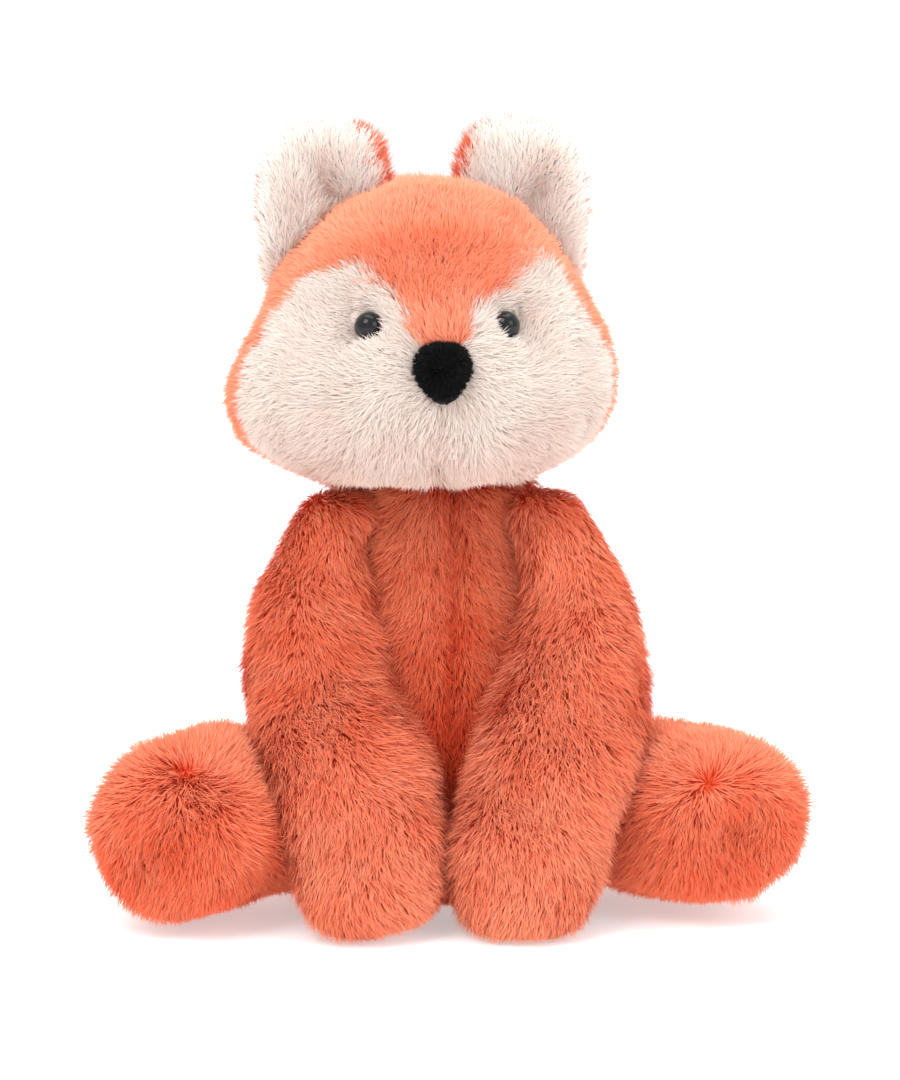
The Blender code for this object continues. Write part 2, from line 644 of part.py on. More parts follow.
def make_tail(torso_room):
    root = Vector((0.0, TORSO_BACK, TAIL_HEIGHT))
    pivot = empty("tail_root", root)
    rooms = [torso_room]
    for degrees in (-TAIL_SWING, TAIL_SWING):
        name = f"torso_from_tail_{degrees:.0f}"
        rooms.append(turned_copy(torso_room, name, root, "Z", degrees))
    cavity = solid("tail_cavity", tail_form(LIMB_CORE_FACETS, PLUSH))
    far = TAIL_RADIUS + OVERRUN
    end = TORSO_BACK - TAIL_ROOT_INSIDE + TAIL_LENGTH
    seam = end - TAIL_TIP_LENGTH
    for name, start, stop, finish in (
        ("tail", 0.0, seam, orange),
        ("tail_tip", seam + GAP, end + OVERRUN, cream),
    ):
        skin = solid(name, tail_form(LIMB_FACETS), finish, pivot)
        cut(skin, cavity)
        room = box(name + "_room", (-far, start, -far), (far, stop, far * 2))
        cut(skin, room, operation="INTERSECT")
        if finish is orange:
            cut(skin, *rooms)
    stuffing = tail_form(LIMB_CORE_FACETS, PLUSH + STUFFING_GAP)
    cut(solid("tail_stuffing", stuffing, fibre, pivot), *rooms)


make_torso()
make_head()
make_nose()
make_ears()
torso_clearance = solid("torso_room", torso_form(TORSO_FACETS, 0.0, -UP * OVERRUN, GAP))
make_arms(torso_clearance)
make_legs()
make_tail(torso_clearance)
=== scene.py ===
# Plush fox: pile, eyes, nose, light and camera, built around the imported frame.
# Lengths are metres. The fox faces -Y; left and right are as seen from its front.
import json
import math

import bmesh
import bpy
import numpy as np
from mathutils import Matrix, Vector, noise
from mathutils.bvhtree import BVHTree


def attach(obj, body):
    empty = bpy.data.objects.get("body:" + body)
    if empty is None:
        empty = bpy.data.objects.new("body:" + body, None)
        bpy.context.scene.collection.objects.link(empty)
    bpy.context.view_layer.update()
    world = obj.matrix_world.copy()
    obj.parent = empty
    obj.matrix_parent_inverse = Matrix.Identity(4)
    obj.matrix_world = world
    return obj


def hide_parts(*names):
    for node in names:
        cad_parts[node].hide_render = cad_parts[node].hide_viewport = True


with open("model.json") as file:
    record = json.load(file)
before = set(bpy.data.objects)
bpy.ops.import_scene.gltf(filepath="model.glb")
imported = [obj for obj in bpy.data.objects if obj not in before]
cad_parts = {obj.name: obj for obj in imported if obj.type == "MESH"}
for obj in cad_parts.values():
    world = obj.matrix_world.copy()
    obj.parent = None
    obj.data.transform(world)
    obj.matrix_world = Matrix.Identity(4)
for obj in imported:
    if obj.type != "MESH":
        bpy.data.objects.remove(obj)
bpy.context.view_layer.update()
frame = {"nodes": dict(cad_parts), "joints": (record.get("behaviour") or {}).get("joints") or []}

millimetre = 0.001
joints = {joint["name"]: Vector(joint["pos_m"]) for joint in frame["joints"]}
headTurn = math.radians(6.0)  # how far the head is turned from straight ahead
sides = ((-1, "left"), (1, "right"))
mostStrands = 54000  # in one piece
clothThickness = 1.2 * millimetre


# Adds a node to a tree, with its settings and what goes into it
def wire(tree, kind, inputs=None, **settings):
    made = tree.nodes.new(kind)
    for key, value in settings.items():
        setattr(made, key, value)
    for key, value in (inputs or {}).items():
        socket = made.inputs[key]
        if isinstance(value, bpy.types.NodeSocket):
            tree.links.new(value, socket)
        else:
            socket.default_value = value
    return made


def newMaterial(name, roughness, gloss=0.5):
    made = bpy.data.materials.new(name)
    made.use_nodes = True
    shader = made.node_tree.nodes["Principled BSDF"]
    shader.inputs["Roughness"].default_value = roughness
    shader.inputs["Specular IOR Level"].default_value = gloss
    return made, made.node_tree, shader


def ramp(tree, factor, stops):
    made = wire(tree, "ShaderNodeValToRGB", {"Fac": factor})
    points = made.color_ramp.elements
    while len(points) < len(stops):
        points.new(0.5)
    for point, (place, colour) in zip(points, stops):
        point.position = place
        point.color = (*colour, 1.0)
    return made.outputs["Color"]


plushLook = {"roughness": 0.85, "gloss": 0.2, "deepest": 0.8, "fade": (0.10, 0.85)}


# A strand keeps its shade across its own map and runs from root to tip along it
def plushMaterial(name, pile):
    made, tree, shader = newMaterial(name, plushLook["roughness"], plushLook["gloss"])
    strandMap = wire(tree, "ShaderNodeUVMap", uv_map="OFBake")
    place = wire(tree, "ShaderNodeSeparateXYZ", {0: strandMap.outputs["UV"]})
    shade, along = place.outputs["X"], place.outputs["Y"]
    tip = ramp(tree, shade, [(0.0, pile["dark"]), (1.0, pile["pale"])])
    deep = [c * plushLook["deepest"] for c in pile["root"]]
    root = ramp(tree, shade, [(0.0, deep), (1.0, pile["root"])])
    start, end = plushLook["fade"]
    fade = wire(tree, "ShaderNodeMapRange", {0: along, 1: start, 2: end}, interpolation_type="SMOOTHSTEP")
    mixed = wire(tree, "ShaderNodeMix", {"Factor": fade.outputs["Result"]}, data_type="RGBA")
    tree.links.new(root, mixed.inputs[6])
    tree.links.new(tip, mixed.inputs[7])
    tree.links.new(mixed.outputs[2], shader.inputs["Base Color"])
    return made


# Fibre, felted or woven: cloudy colour and a fine grain
def clothMaterial(name, colour, scale, roughness, grainStrength=0.3):
    made, tree, shader = newMaterial(name, roughness)
    place = wire(tree, "ShaderNodeTexCoord").outputs["Object"]
    cloud = wire(tree, "ShaderNodeTexNoise", {"Vector": place, "Scale": scale, "Detail": 6.0})
    darker = [c * 0.8 for c in colour]
    tint = ramp(tree, cloud.outputs["Fac"], [(0.3, darker), (0.7, colour)])
    tree.links.new(tint, shader.inputs["Base Color"])
    grain = wire(tree, "ShaderNodeTexNoise", {"Vector": place, "Scale": scale * 6, "Detail": 3.0})
    relief = wire(
        tree, "ShaderNodeBump",
        {"Height": grain.outputs["Fac"], "Strength": grainStrength, "Distance": 0.3 * millimetre},
    )
    tree.links.new(relief.outputs["Normal"], shader.inputs["Normal"])
    return made


def plasticMaterial(name, colour, roughness, gloss=0.5):
    made, tree, shader = newMaterial(name, roughness, gloss)
    place = wire(tree, "ShaderNodeTexCoord").outputs["Object"]
    cloud = wire(tree, "ShaderNodeTexNoise", {"Vector": place, "Scale": 900.0, "Detail": 2.0})
    lighter = [min(c * 1.25 + 0.002, 1.0) for c in colour]
    tint = ramp(tree, cloud.outputs["Fac"], [(0.35, colour), (0.75, lighter)])
    tree.links.new(tint, shader.inputs["Base Color"])
    return made


# How strands differ: the spread of the locks against that of the strands in them, each strand's share of
# the length and of the lock's pull, how it lifts off its root, sweeps with the nap and turns on itself,
# and its shade. The map has a strand's root near its lower edge and the bare cloth below that
strand = {
    "lockScatter": 1.3, "lockShades": (-0.18, 0.18), "lengths": (0.72, 1.08), "pulls": (0.55, 1.25),
    "lift": 0.42, "sweep": 0.12, "turns": (-0.7, 0.7), "shades": (-0.14, 0.14), "darkest": 0.02,
    "palest": 0.98, "floor": 0.2 * millimetre, "mapStart": 0.07, "mapLength": 0.9, "mapWidth": 0.003,
    "clothTone": 0.6, "clothMottle": 0.06, "mottleScale": 90.0,
}


# The strand tree: locks gather the strands, and each strand is a bent, tapered blade
def strandTree(blank):
    tree = bpy.data.node_groups.new("pileOfStrands", "GeometryNodeTree")
    sockets = [
        ("Geometry", "NodeSocketGeometry", None), ("Strand Length", "NodeSocketFloat", 0.009),
        ("Strand Width", "NodeSocketFloat", 0.0005), ("Strands per mm2", "NodeSocketFloat", 3.0),
        ("Locks per mm2", "NodeSocketFloat", 0.1), ("Lock Pull", "NodeSocketFloat", 0.4),
        ("Lean", "NodeSocketFloat", 0.5), ("Scatter", "NodeSocketFloat", 0.3),
        ("Pile", "NodeSocketMaterial", None), ("Seed", "NodeSocketInt", 1),
    ]
    for name, kind, usual in sockets:
        socket = tree.interface.new_socket(name, in_out="INPUT", socket_type=kind)
        if usual is not None:
            socket.default_value = usual
    tree.interface.new_socket("Geometry", in_out="OUTPUT", socket_type="NodeSocketGeometry")
    given = tree.nodes.new("NodeGroupInput").outputs

    def sums(operation, *values):
        return wire(tree, "ShaderNodeMath", dict(enumerate(values)), operation=operation).outputs[0]

    def vectors(operation, *values):
        made = wire(tree, "ShaderNodeVectorMath", dict(enumerate(values)), operation=operation)
        return made.outputs[0]

    def scaled(vector, by):
        made = wire(tree, "ShaderNodeVectorMath", {"Vector": vector, "Scale": by}, operation="SCALE")
        return made.outputs[0]

    def unit(vector):
        return vectors("NORMALIZE", vector)

    def named(name, kind="FLOAT"):
        made = wire(tree, "GeometryNodeInputNamedAttribute", {"Name": name}, data_type=kind)
        return made.outputs["Attribute"]

    def store(geometry, name, value, kind="FLOAT", domain="POINT"):
        made = wire(tree, "GeometryNodeStoreNamedAttribute", {"Geometry": geometry, "Name": name},
                    data_type=kind, domain=domain)
        tree.links.new(value, made.inputs["Value"])
        return made.outputs["Geometry"]

    def chance(low, high, seed):
        made = wire(tree, "FunctionNodeRandomValue", {2: low, 3: high}, data_type="FLOAT")
        tree.links.new(sums("ADD", given["Seed"], float(seed)), made.inputs["Seed"])
        return made.outputs[1]

    def wander(seed):
        made = wire(tree, "FunctionNodeRandomValue", data_type="FLOAT_VECTOR")
        made.inputs[0].default_value, made.inputs[1].default_value = (-1.0,) * 3, (1.0,) * 3
        tree.links.new(sums("ADD", given["Seed"], float(seed)), made.inputs["Seed"])
        return made.outputs[0]

    place = wire(tree, "GeometryNodeInputPosition").outputs[0]
    slotOf = wire(tree, "GeometryNodeInputMaterialIndex").outputs[0]
    outer = wire(tree, "FunctionNodeCompare", {2: slotOf, 3: 0}, data_type="INT", operation="EQUAL")
    perSquareMetre = 1e6

    def scatterPoints(density, seed):
        many = sums("MULTIPLY", sums("MULTIPLY", density, perSquareMetre), named("cover"))
        made = wire(
            tree, "GeometryNodeDistributePointsOnFaces",
            {"Mesh": given["Geometry"], "Selection": outer.outputs[0], "Density": many},
            distribute_method="RANDOM",
        )
        tree.links.new(sums("ADD", given["Seed"], float(seed)), made.inputs["Seed"])
        return made.outputs["Points"], made.outputs["Normal"]

    comb = named("comb", "FLOAT_VECTOR")
    lean = given["Lean"]
    upright = sums("SUBTRACT", 1.0, lean)

    def aimFrom(normal, spread, seed):
        laid = vectors("ADD", scaled(normal, upright), scaled(comb, lean))
        return unit(vectors("ADD", laid, scaled(wander(seed), spread)))

    locks, lockNormal = scatterPoints(given["Locks per mm2"], 11)
    lockAim = aimFrom(lockNormal, sums("MULTIPLY", given["Scatter"], strand["lockScatter"]), 12)
    locks = store(locks, "aim", lockAim, "FLOAT_VECTOR")
    locks = store(locks, "lockShade", chance(*strand["lockShades"], 13))
    points, normal = scatterPoints(given["Strands per mm2"], 21)
    nearest = wire(
        tree, "GeometryNodeSampleNearest", {"Geometry": locks, "Sample Position": place}, domain="POINT"
    ).outputs["Index"]

    def fromLock(value, kind):
        made = wire(tree, "GeometryNodeSampleIndex", {"Geometry": locks, "Index": nearest},
                    data_type=kind, domain="POINT")
        tree.links.new(value, made.inputs["Value"])
        return made.outputs["Value"]

    reached = sums("MULTIPLY", given["Strand Length"], named("reach"))
    length = sums("MULTIPLY", reached, chance(*strand["lengths"], 22))
    own = scaled(aimFrom(normal, given["Scatter"], 23), length)
    lockTip = vectors("ADD", fromLock(place, "FLOAT_VECTOR"),
                      scaled(fromLock(named("aim", "FLOAT_VECTOR"), "FLOAT_VECTOR"), length))
    toLock = vectors("SUBTRACT", lockTip, place)
    pull = sums("MULTIPLY", given["Lock Pull"], chance(*strand["pulls"], 24))
    tip = vectors("ADD", own, scaled(vectors("SUBTRACT", toLock, own), pull))
    bend = vectors("ADD", scaled(normal, sums("MULTIPLY", length, strand["lift"])),
                   scaled(comb, sums("MULTIPLY", length, strand["sweep"])))
    across = unit(vectors("CROSS_PRODUCT", tip, normal))
    across = unit(vectors("ADD", across, scaled(normal, chance(*strand["turns"], 25))))
    shade = sums("ADD", named("tone"), chance(*strand["shades"], 26))
    shade = sums("ADD", shade, fromLock(named("lockShade"), "FLOAT"))
    shade = wire(
        tree, "ShaderNodeClamp", {"Value": shade, "Min": strand["darkest"], "Max": strand["palest"]}
    ).outputs[0]
    for name, value in (("root", place), ("tip", tip), ("bend", bend), ("across", across)):
        points = store(points, name, value, "FLOAT_VECTOR")
    points = store(points, "shade", shade)

    template = wire(tree, "GeometryNodeObjectInfo", {"Object": blank}).outputs["Geometry"]
    template = store(template, "blade", place, "FLOAT_VECTOR")
    strands = wire(tree, "GeometryNodeInstanceOnPoints", {"Points": points, "Instance": template})
    strands = wire(tree, "GeometryNodeRealizeInstances", {"Geometry": strands.outputs[0]}).outputs[0]
    blade = wire(tree, "ShaderNodeSeparateXYZ", {0: named("blade", "FLOAT_VECTOR")}).outputs
    along = blade["Y"]
    bent = sums("MULTIPLY", sums("MULTIPLY", along, sums("SUBTRACT", 1.0, along)), 2.0)
    wide = sums("MULTIPLY", sums("MULTIPLY", blade["X"], 0.5), given["Strand Width"])
    spot = vectors("ADD", named("root", "FLOAT_VECTOR"), scaled(named("bend", "FLOAT_VECTOR"), bent))
    reachTip = scaled(named("tip", "FLOAT_VECTOR"), sums("MULTIPLY", along, along))
    spot = vectors("ADD", spot, reachTip)
    spot = vectors("ADD", spot, scaled(named("across", "FLOAT_VECTOR"), wide))
    parts = wire(tree, "ShaderNodeSeparateXYZ", {0: spot}).outputs
    onFloor = wire(tree, "ShaderNodeCombineXYZ", {0: parts["X"], 1: parts["Y"]})
    tree.links.new(sums("MAXIMUM", parts["Z"], strand["floor"]), onFloor.inputs[2])
    strands = wire(
        tree, "GeometryNodeSetPosition", {"Geometry": strands, "Position": onFloor.outputs[0]}
    ).outputs[0]

    def mapped(geometry, shadeAt, alongAt):
        at = wire(tree, "ShaderNodeCombineXYZ", {0: shadeAt, 1: alongAt}).outputs[0]
        return store(geometry, "OFBake", at, "FLOAT2", "CORNER")

    shadeAt = sums("ADD", named("shade"), sums("MULTIPLY", blade["X"], strand["mapWidth"]))
    alongAt = sums("ADD", sums("MULTIPLY", along, strand["mapLength"]), strand["mapStart"])
    strands = mapped(strands, shadeAt, alongAt)
    strands = wire(
        tree, "GeometryNodeSetMaterial", {"Geometry": strands, "Material": given["Pile"]}
    ).outputs[0]
    mottle = wire(tree, "ShaderNodeTexNoise", {"Vector": place, "Scale": strand["mottleScale"]}).outputs[0]
    skin = mapped(given["Geometry"], sums("MULTIPLY", named("tone"), strand["clothTone"]),
                  sums("MULTIPLY", mottle, strand["clothMottle"]))
    joined = tree.nodes.new("GeometryNodeJoinGeometry")
    tree.links.new(skin, joined.inputs[0])
    tree.links.new(strands, joined.inputs[0])
    result = tree.nodes.new("NodeGroupOutput")
    tree.links.new(joined.outputs[0], result.inputs[0])
    return tree


def meshObject(name, mesh):
    made = bpy.data.objects.new(name, mesh)
    bpy.context.scene.collection.objects.link(made)
    return made


# A blade with its place across in X and along in Y
def strandBlank():
    mesh = bpy.data.meshes.new("strandBlank")
    corners = [(-1.0, 0.0, 0.0), (1.0, 0.0, 0.0), (0.75, 0.5, 0.0), (-0.75, 0.5, 0.0), (0.0, 1.0, 0.0)]
    mesh.from_pydata(corners, [], [(0, 1, 2, 3), (3, 2, 4)])
    mesh.shade_smooth()
    return meshObject("strandBlank", mesh)


blankStrand = strandBlank()
pileTree = strandTree(blankStrand)
inputIds = {s.name: s.identifier for s in pileTree.interface.items_tree if s.in_out == "INPUT"}


def removeObject(obj):
    mesh = obj.data
    bpy.data.objects.remove(obj)
    if mesh.users == 0:
        bpy.data.meshes.remove(mesh)


# The object as its modifiers make it, as a plain mesh of its own
def finished(obj, name):
    bpy.context.view_layer.update()
    graph = bpy.context.evaluated_depsgraph_get()
    mesh = bpy.data.meshes.new_from_object(
        obj.evaluated_get(graph), preserve_all_data_layers=True, depsgraph=graph
    )
    mesh.name = name
    removeObject(obj)
    return meshObject(name, mesh)


def meshFrom(bm, name):
    mesh = bpy.data.meshes.new(name)
    bm.to_mesh(mesh)
    bm.free()
    return mesh


# One smooth skin over several CAD nodes, drawn in by the depth of the pile
def softSkin(nodes, voxel, inset, rounds=14, puffs=()):
    bm = bmesh.new()
    for name in nodes:
        bm.from_mesh(frame["nodes"][name].data)
    bmesh.ops.remove_doubles(bm, verts=bm.verts, dist=0.01 * millimetre)
    for centre, radii in puffs:
        shape = Matrix.Translation(centre) @ Matrix.Diagonal((*radii, 1.0))
        bmesh.ops.create_uvsphere(bm, u_segments=24, v_segments=16, radius=1.0, matrix=shape)
    obj = meshObject("softSkin", meshFrom(bm, "joined"))
    remesh = obj.modifiers.new("remesh", "REMESH")
    remesh.mode = "VOXEL"
    remesh.voxel_size = voxel
    smoothing = obj.modifiers.new("smooth", "SMOOTH")
    smoothing.factor = 0.5
    smoothing.iterations = rounds
    shrink = obj.modifiers.new("shrink", "DISPLACE")
    shrink.strength = -inset
    shrink.mid_level = 0.0
    after = obj.modifiers.new("after", "SMOOTH")
    after.factor = 0.5
    after.iterations = 4
    return finished(obj, "softSkin")


def numbersOf(mesh):
    places = np.empty(len(mesh.vertices) * 3)
    mesh.vertices.foreach_get("co", places)
    normals = np.empty(len(mesh.vertices) * 3)
    mesh.vertex_normals.foreach_get("vector", normals)
    return places.reshape(-1, 3), normals.reshape(-1, 3)


def setPlaces(mesh, places):
    mesh.vertices.foreach_set("co", places.ravel())
    mesh.update()


def treeOf(obj):
    return BVHTree.FromObject(obj, bpy.context.evaluated_depsgraph_get())


hidden = {"look": 0.02, "bareFrom": 0.003, "thinFrom": 0.001, "thin": 0.45}


# How much pile a place gets: none deep inside another part, less just under its surface
def coverOf(places, others):
    cover = np.ones(len(places))
    for other in others:
        for i, place in enumerate(places):
            spot, normal, _, away = other.find_nearest(Vector(place), hidden["look"])
            if spot is not None and (Vector(place) - spot).dot(normal) < 0.0:
                left = hidden["thin"] if away < hidden["bareFrom"] else 0.0
                cover[i] = min(cover[i], 1.0 if away < hidden["thinFrom"] else left)
    return cover


def unitRows(rows):
    return rows / np.maximum(np.linalg.norm(rows, axis=1, keepdims=True), 1e-9)


# Rows of three, from columns or single values
def rowsOf(*columns):
    return np.column_stack(np.broadcast_arrays(*columns))


def noiseAt(places, scale, seed):
    shift = Vector((seed, 0.0, seed * 0.3))
    return np.array([noise.noise(Vector(p) * scale + shift) for p in places])


def mottled(places, amount, scale, seed):
    return amount * noiseAt(places, scale, seed)


def bump(distance, width):
    return np.exp(-(distance / width) ** 2 / 2)


# From 0 at start to 1 at end, held beyond them
def rise(values, start, end):
    return np.clip((values - start) / (end - start), 0.0, 1.0)


napWaves = ((1.0, 1.6), (2.7, 0.7))  # how fine each wave of the nap is, and how strong


# The nap's directions laid flat on the surface and turned about it by a smooth noise, as brushed plush
# lies. The ruffle is how far they turn and how fine the noise is
def combed(places, normals, ways, ruffle, seed):
    angle, scale = ruffle
    combs = unitRows(ways - normals * np.sum(ways * normals, axis=1, keepdims=True))
    turned = combs.copy()
    for i, place in enumerate(places):
        at = Vector(place) * scale + Vector((seed, seed * 0.7, 0.0))
        turn = sum(noise.noise(at * fine) * angle * strong for fine, strong in napWaves)
        side = np.cross(normals[i], combs[i])
        turned[i] = combs[i] * math.cos(turn) + side * math.sin(turn)
    return turned


def turnedRows(rows, angle):
    c, s = math.cos(angle), math.sin(angle)
    return np.column_stack([rows[:, 0] * c - rows[:, 1] * s, rows[:, 0] * s + rows[:, 1] * c, rows[:, 2]])


# World places in the head's own frame, and back
def inHead(places):
    return turnedRows(places - np.array(joints["head_turn"]), -headTurn)


def fromHead(local):
    return turnedRows(local, headTurn) + np.array(joints["head_turn"])


# Splits a skin into its panels: each face goes to the nearest CAD node, once the seams are eased
def panelsOf(skin, names, ease=None):
    nodeTrees = [treeOf(frame["nodes"][name]) for name in names]
    middles = np.array([f.center for f in skin.data.polygons])
    facings = np.array([f.normal for f in skin.data.polygons])
    away = np.array([[tree.find_nearest(Vector(m))[3] for tree in nodeTrees] for m in middles])
    if ease:
        for k, name in enumerate(names):
            away[:, k] -= ease(name, middles, facings)
    owner = away.argmin(axis=1)
    panels = {}
    for k, name in enumerate(names):
        bm = bmesh.new()
        bm.from_mesh(skin.data)
        bmesh.ops.delete(bm, geom=[f for f, own in zip(bm.faces, owner) if own != k], context="FACES")
        panels[name] = meshFrom(bm, name)
    return panels


looks = {}
backings = {}
triangles = {"drawn": 0}
fibre = clothMaterial("stuffing_fibre", (0.86, 0.86, 0.84), 260.0, 1.0, 1.0)
fill = {"depth": 1.8 * millimetre, "thinDraw": 6.0, "rounds": 6}


# Loose fibre in a skin's own form, drawn in by the depth of its cloth and a little more, and further
# along thin rims, where the normals about a place differ, with a room in it where something else lies
def fillSkin(mesh, body, node, room=None):
    filling = mesh.copy()
    places, normals = numbersOf(filling)
    ends = np.empty(len(filling.edges) * 2, dtype=np.int64)
    filling.edges.foreach_get("vertices", ends)
    one, two = ends.reshape(-1, 2).T
    many = 1.0 + np.bincount(ends, minlength=len(places))
    for _ in range(fill["rounds"]):
        total = normals.copy()
        np.add.at(total, one, normals[two])
        np.add.at(total, two, normals[one])
        normals = total / many[:, None]
    agreed = np.linalg.norm(normals, axis=1, keepdims=True)
    depth = fill["depth"] * (1.0 + fill["thinDraw"] * (1.0 - agreed))
    setPlaces(filling, places - unitRows(normals) * depth)
    if room:
        bm = bmesh.new()
        bm.from_mesh(room.data)
        bmesh.ops.reverse_faces(bm, faces=bm.faces)
        bm.from_mesh(filling)
        bm.to_mesh(filling)
        bm.free()
    filling.materials.clear()
    filling.materials.append(fibre)
    filling.shade_smooth()
    made = meshObject(node + "_fill", filling)
    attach(made, body)
    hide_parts(node)
    triangles["drawn"] += sum(len(p.vertices) - 2 for p in filling.polygons)


# A panel of plush: its cloth with its pile standing on it, riding on one body
def plushPiece(name, mesh, pile, body, nodes, nap, seed):
    places, _ = numbersOf(mesh)
    look = pile["look"]
    if look not in looks:
        looks[look] = plushMaterial(look, pile)
        backings[look] = clothMaterial(look + "_backing", pile["root"], 700.0, 0.9)
    for key, usual in (("cover", 1.0), ("reach", 1.0), ("tone", 0.5)):
        values = nap.get(key, np.full(len(places), usual))
        mesh.attributes.new(key, "FLOAT", "POINT").data.foreach_set("value", values.astype(np.float32))
    combs = nap["comb"].astype(np.float32).ravel()
    mesh.attributes.new("comb", "FLOAT_VECTOR", "POINT").data.foreach_set("vector", combs)
    mesh.materials.clear()
    mesh.materials.append(looks[look])
    mesh.materials.append(backings[look])
    mesh.shade_smooth()
    area = sum(p.area for p in mesh.polygons) / millimetre**2
    density = min(pile["density"], mostStrands / area)
    obj = meshObject(name, mesh)
    cloth = obj.modifiers.new("cloth", "SOLIDIFY")
    cloth.thickness = clothThickness
    cloth.offset = -1.0
    cloth.material_offset = cloth.material_offset_rim = 1
    strands = obj.modifiers.new("pile", "NODES")
    strands.node_group = pileTree
    for key, value in {
        "Strand Length": pile["length"], "Strand Width": pile["width"], "Strands per mm2": density,
        "Locks per mm2": pile["locks"], "Lock Pull": pile["pull"], "Lean": pile["lean"],
        "Scatter": pile["scatter"], "Pile": looks[look], "Seed": seed,
    }.items():
        strands[inputIds[key]] = value
    piece = finished(obj, name)
    for attribute in ("cover", "reach", "tone", "comb", "root", "tip", "bend", "across", "shade", "blade"):
        if attribute in piece.data.attributes:
            piece.data.attributes.remove(piece.data.attributes[attribute])
    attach(piece, body)
    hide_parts(*nodes)
    count = sum(len(p.vertices) - 2 for p in piece.data.polygons)
    triangles["drawn"] += count
    print(f"{name}: {count} triangles, {density:.1f} strands per mm2 on {area:.0f} mm2")


# Pile: strand length and width, how far it lies over, how it scatters and gathers in locks, strands for
# each square millimetre, and its colours at the root, in the darkest strand and in the palest
orangePile = {
    "look": "orange_pile", "length": 0.0088, "width": 0.00046, "lean": 0.48, "scatter": 0.26,
    "locks": 0.48, "pull": 0.36, "density": 3.8,
    "root": (0.88, 0.122, 0.042), "dark": (0.88, 0.132, 0.048), "pale": (0.92, 0.335, 0.195),
}
creamPile = {
    "look": "cream_pile", "length": 0.0072, "width": 0.00042, "lean": 0.60, "scatter": 0.32,
    "locks": 0.60, "pull": 0.24, "density": 5.4,
    "root": (0.86, 0.72, 0.65), "dark": (0.77, 0.58, 0.495), "pale": (0.845, 0.76, 0.70),
}

# The grain of each skin, how far it is drawn in and how often it is smoothed, where that isn't the usual
forms = {
    "head": {"voxel": 0.0022, "inset": 0.0024},
    "torso": {"voxel": 0.0025, "inset": 0.0026},
    "tail": {"voxel": 0.0024, "inset": 0.0030},
    "arm": {"voxel": 0.0025, "inset": 0.0026},
    "leg": {"voxel": 0.0025, "inset": 0.0030},
    "ear": {"voxel": 0.0015, "inset": 0.0008, "rounds": 8},
    "nose": {"voxel": 0.0007, "inset": 0.0006, "rounds": 4},
}
# Balls of stuffing round off each shoulder: how far inwards and up from the arm's joint, and their radii
shoulders = (
    {"inwards": 0.0020, "up": -0.0010, "radii": (0.0130, 0.0205, 0.0250)},
    {"inwards": 0.0065, "up": 0.0163, "radii": (0.0100, 0.0130, 0.0098)},
)
headPanels = ["head_crown", "head_back_left", "head_back_right", "cheek_left", "cheek_right"]
torsoPanels = ["torso_front_left", "torso_front_right", "torso_back_left", "torso_back_right", "torso_seat"]

print("softening the forms")
skins = {
    "head": softSkin(headPanels + ["head_stuffing"], **forms["head"]),
    "torso": softSkin(torsoPanels + ["torso_stuffing", "pellet_bag"], **forms["torso"]),
    "tail": softSkin(["tail", "tail_tip", "tail_stuffing"], **forms["tail"]),
}
for side, word in sides:
    joint = joints[f"arm_{word}_swing"]
    puffs = [(joint + Vector((-side * b["inwards"], 0.0, b["up"])), b["radii"]) for b in shoulders]
    skins["arm_" + word] = softSkin([f"arm_{word}", f"arm_{word}_stuffing"], **forms["arm"], puffs=puffs)
    skins["leg_" + word] = softSkin([f"leg_{word}", f"leg_{word}_stuffing"], **forms["leg"])
    skins["ear_" + word] = softSkin([f"ear_{word}_outer", f"ear_{word}_inner"], **forms["ear"])

neighbours = {
    "head": ["torso"], "torso": ["arm_left", "arm_right", "leg_left", "leg_right", "head", "tail"],
    "tail": ["torso"], "ear_left": ["head"], "ear_right": ["head"],
    "arm_left": ["torso", "leg_left", "head"], "arm_right": ["torso", "leg_right", "head"],
    "leg_left": ["torso", "arm_left"], "leg_right": ["torso", "arm_right"],
}


def othersThan(name):
    return [trees[other] for other in neighbours[name]]


# Head: crown, back and cheeks. The outline gives the skin's half widths, left and right, at heights over
# the neck seam
head = {
    "outline": (
        (0.000, 0.0370, 0.0350), (0.007, 0.0485, 0.0450), (0.016, 0.0575, 0.0530), (0.027, 0.0612, 0.0583),
        (0.037, 0.0592, 0.0595), (0.047, 0.0552, 0.0577), (0.056, 0.0515, 0.0543), (0.069, 0.0466, 0.0472),
        (0.080, 0.0365, 0.0395), (0.089, 0.0268, 0.0317), (0.096, 0.0140, 0.0168),
    ),
    "slice": 0.004, "front": (0.0, 0.02), "chinLift": 0.0030, "chinHeight": 0.018, "neckDrop": 0.0030,
    "neck": (0.026, 0.036), "neckFacing": (0.5, 0.9), "neckFrom": (-0.012, 0.0),
    "eyeX": 0.0233, "eyeZ": 0.0566, "eyeHollow": 0.0030, "eyeHollowWidth": 0.0065, "eyeHollowShift": 0.0015,
    "noseZ": 0.042, "seamDepth": 0.0016, "seamWidth": 0.0020, "seamEnd": 0.008,
    "browZ": 0.0820, "browBend": 5.7, "browHeight": 0.0012, "browShift": 0.002, "browThickness": 0.003,
    "browSpan": 0.020,
}


# Height over the brow, an arch across the forehead under which the pile stands up
def overBrow(local):
    return local[:, 2] - head["browZ"] + head["browBend"] * local[:, 0] ** 2


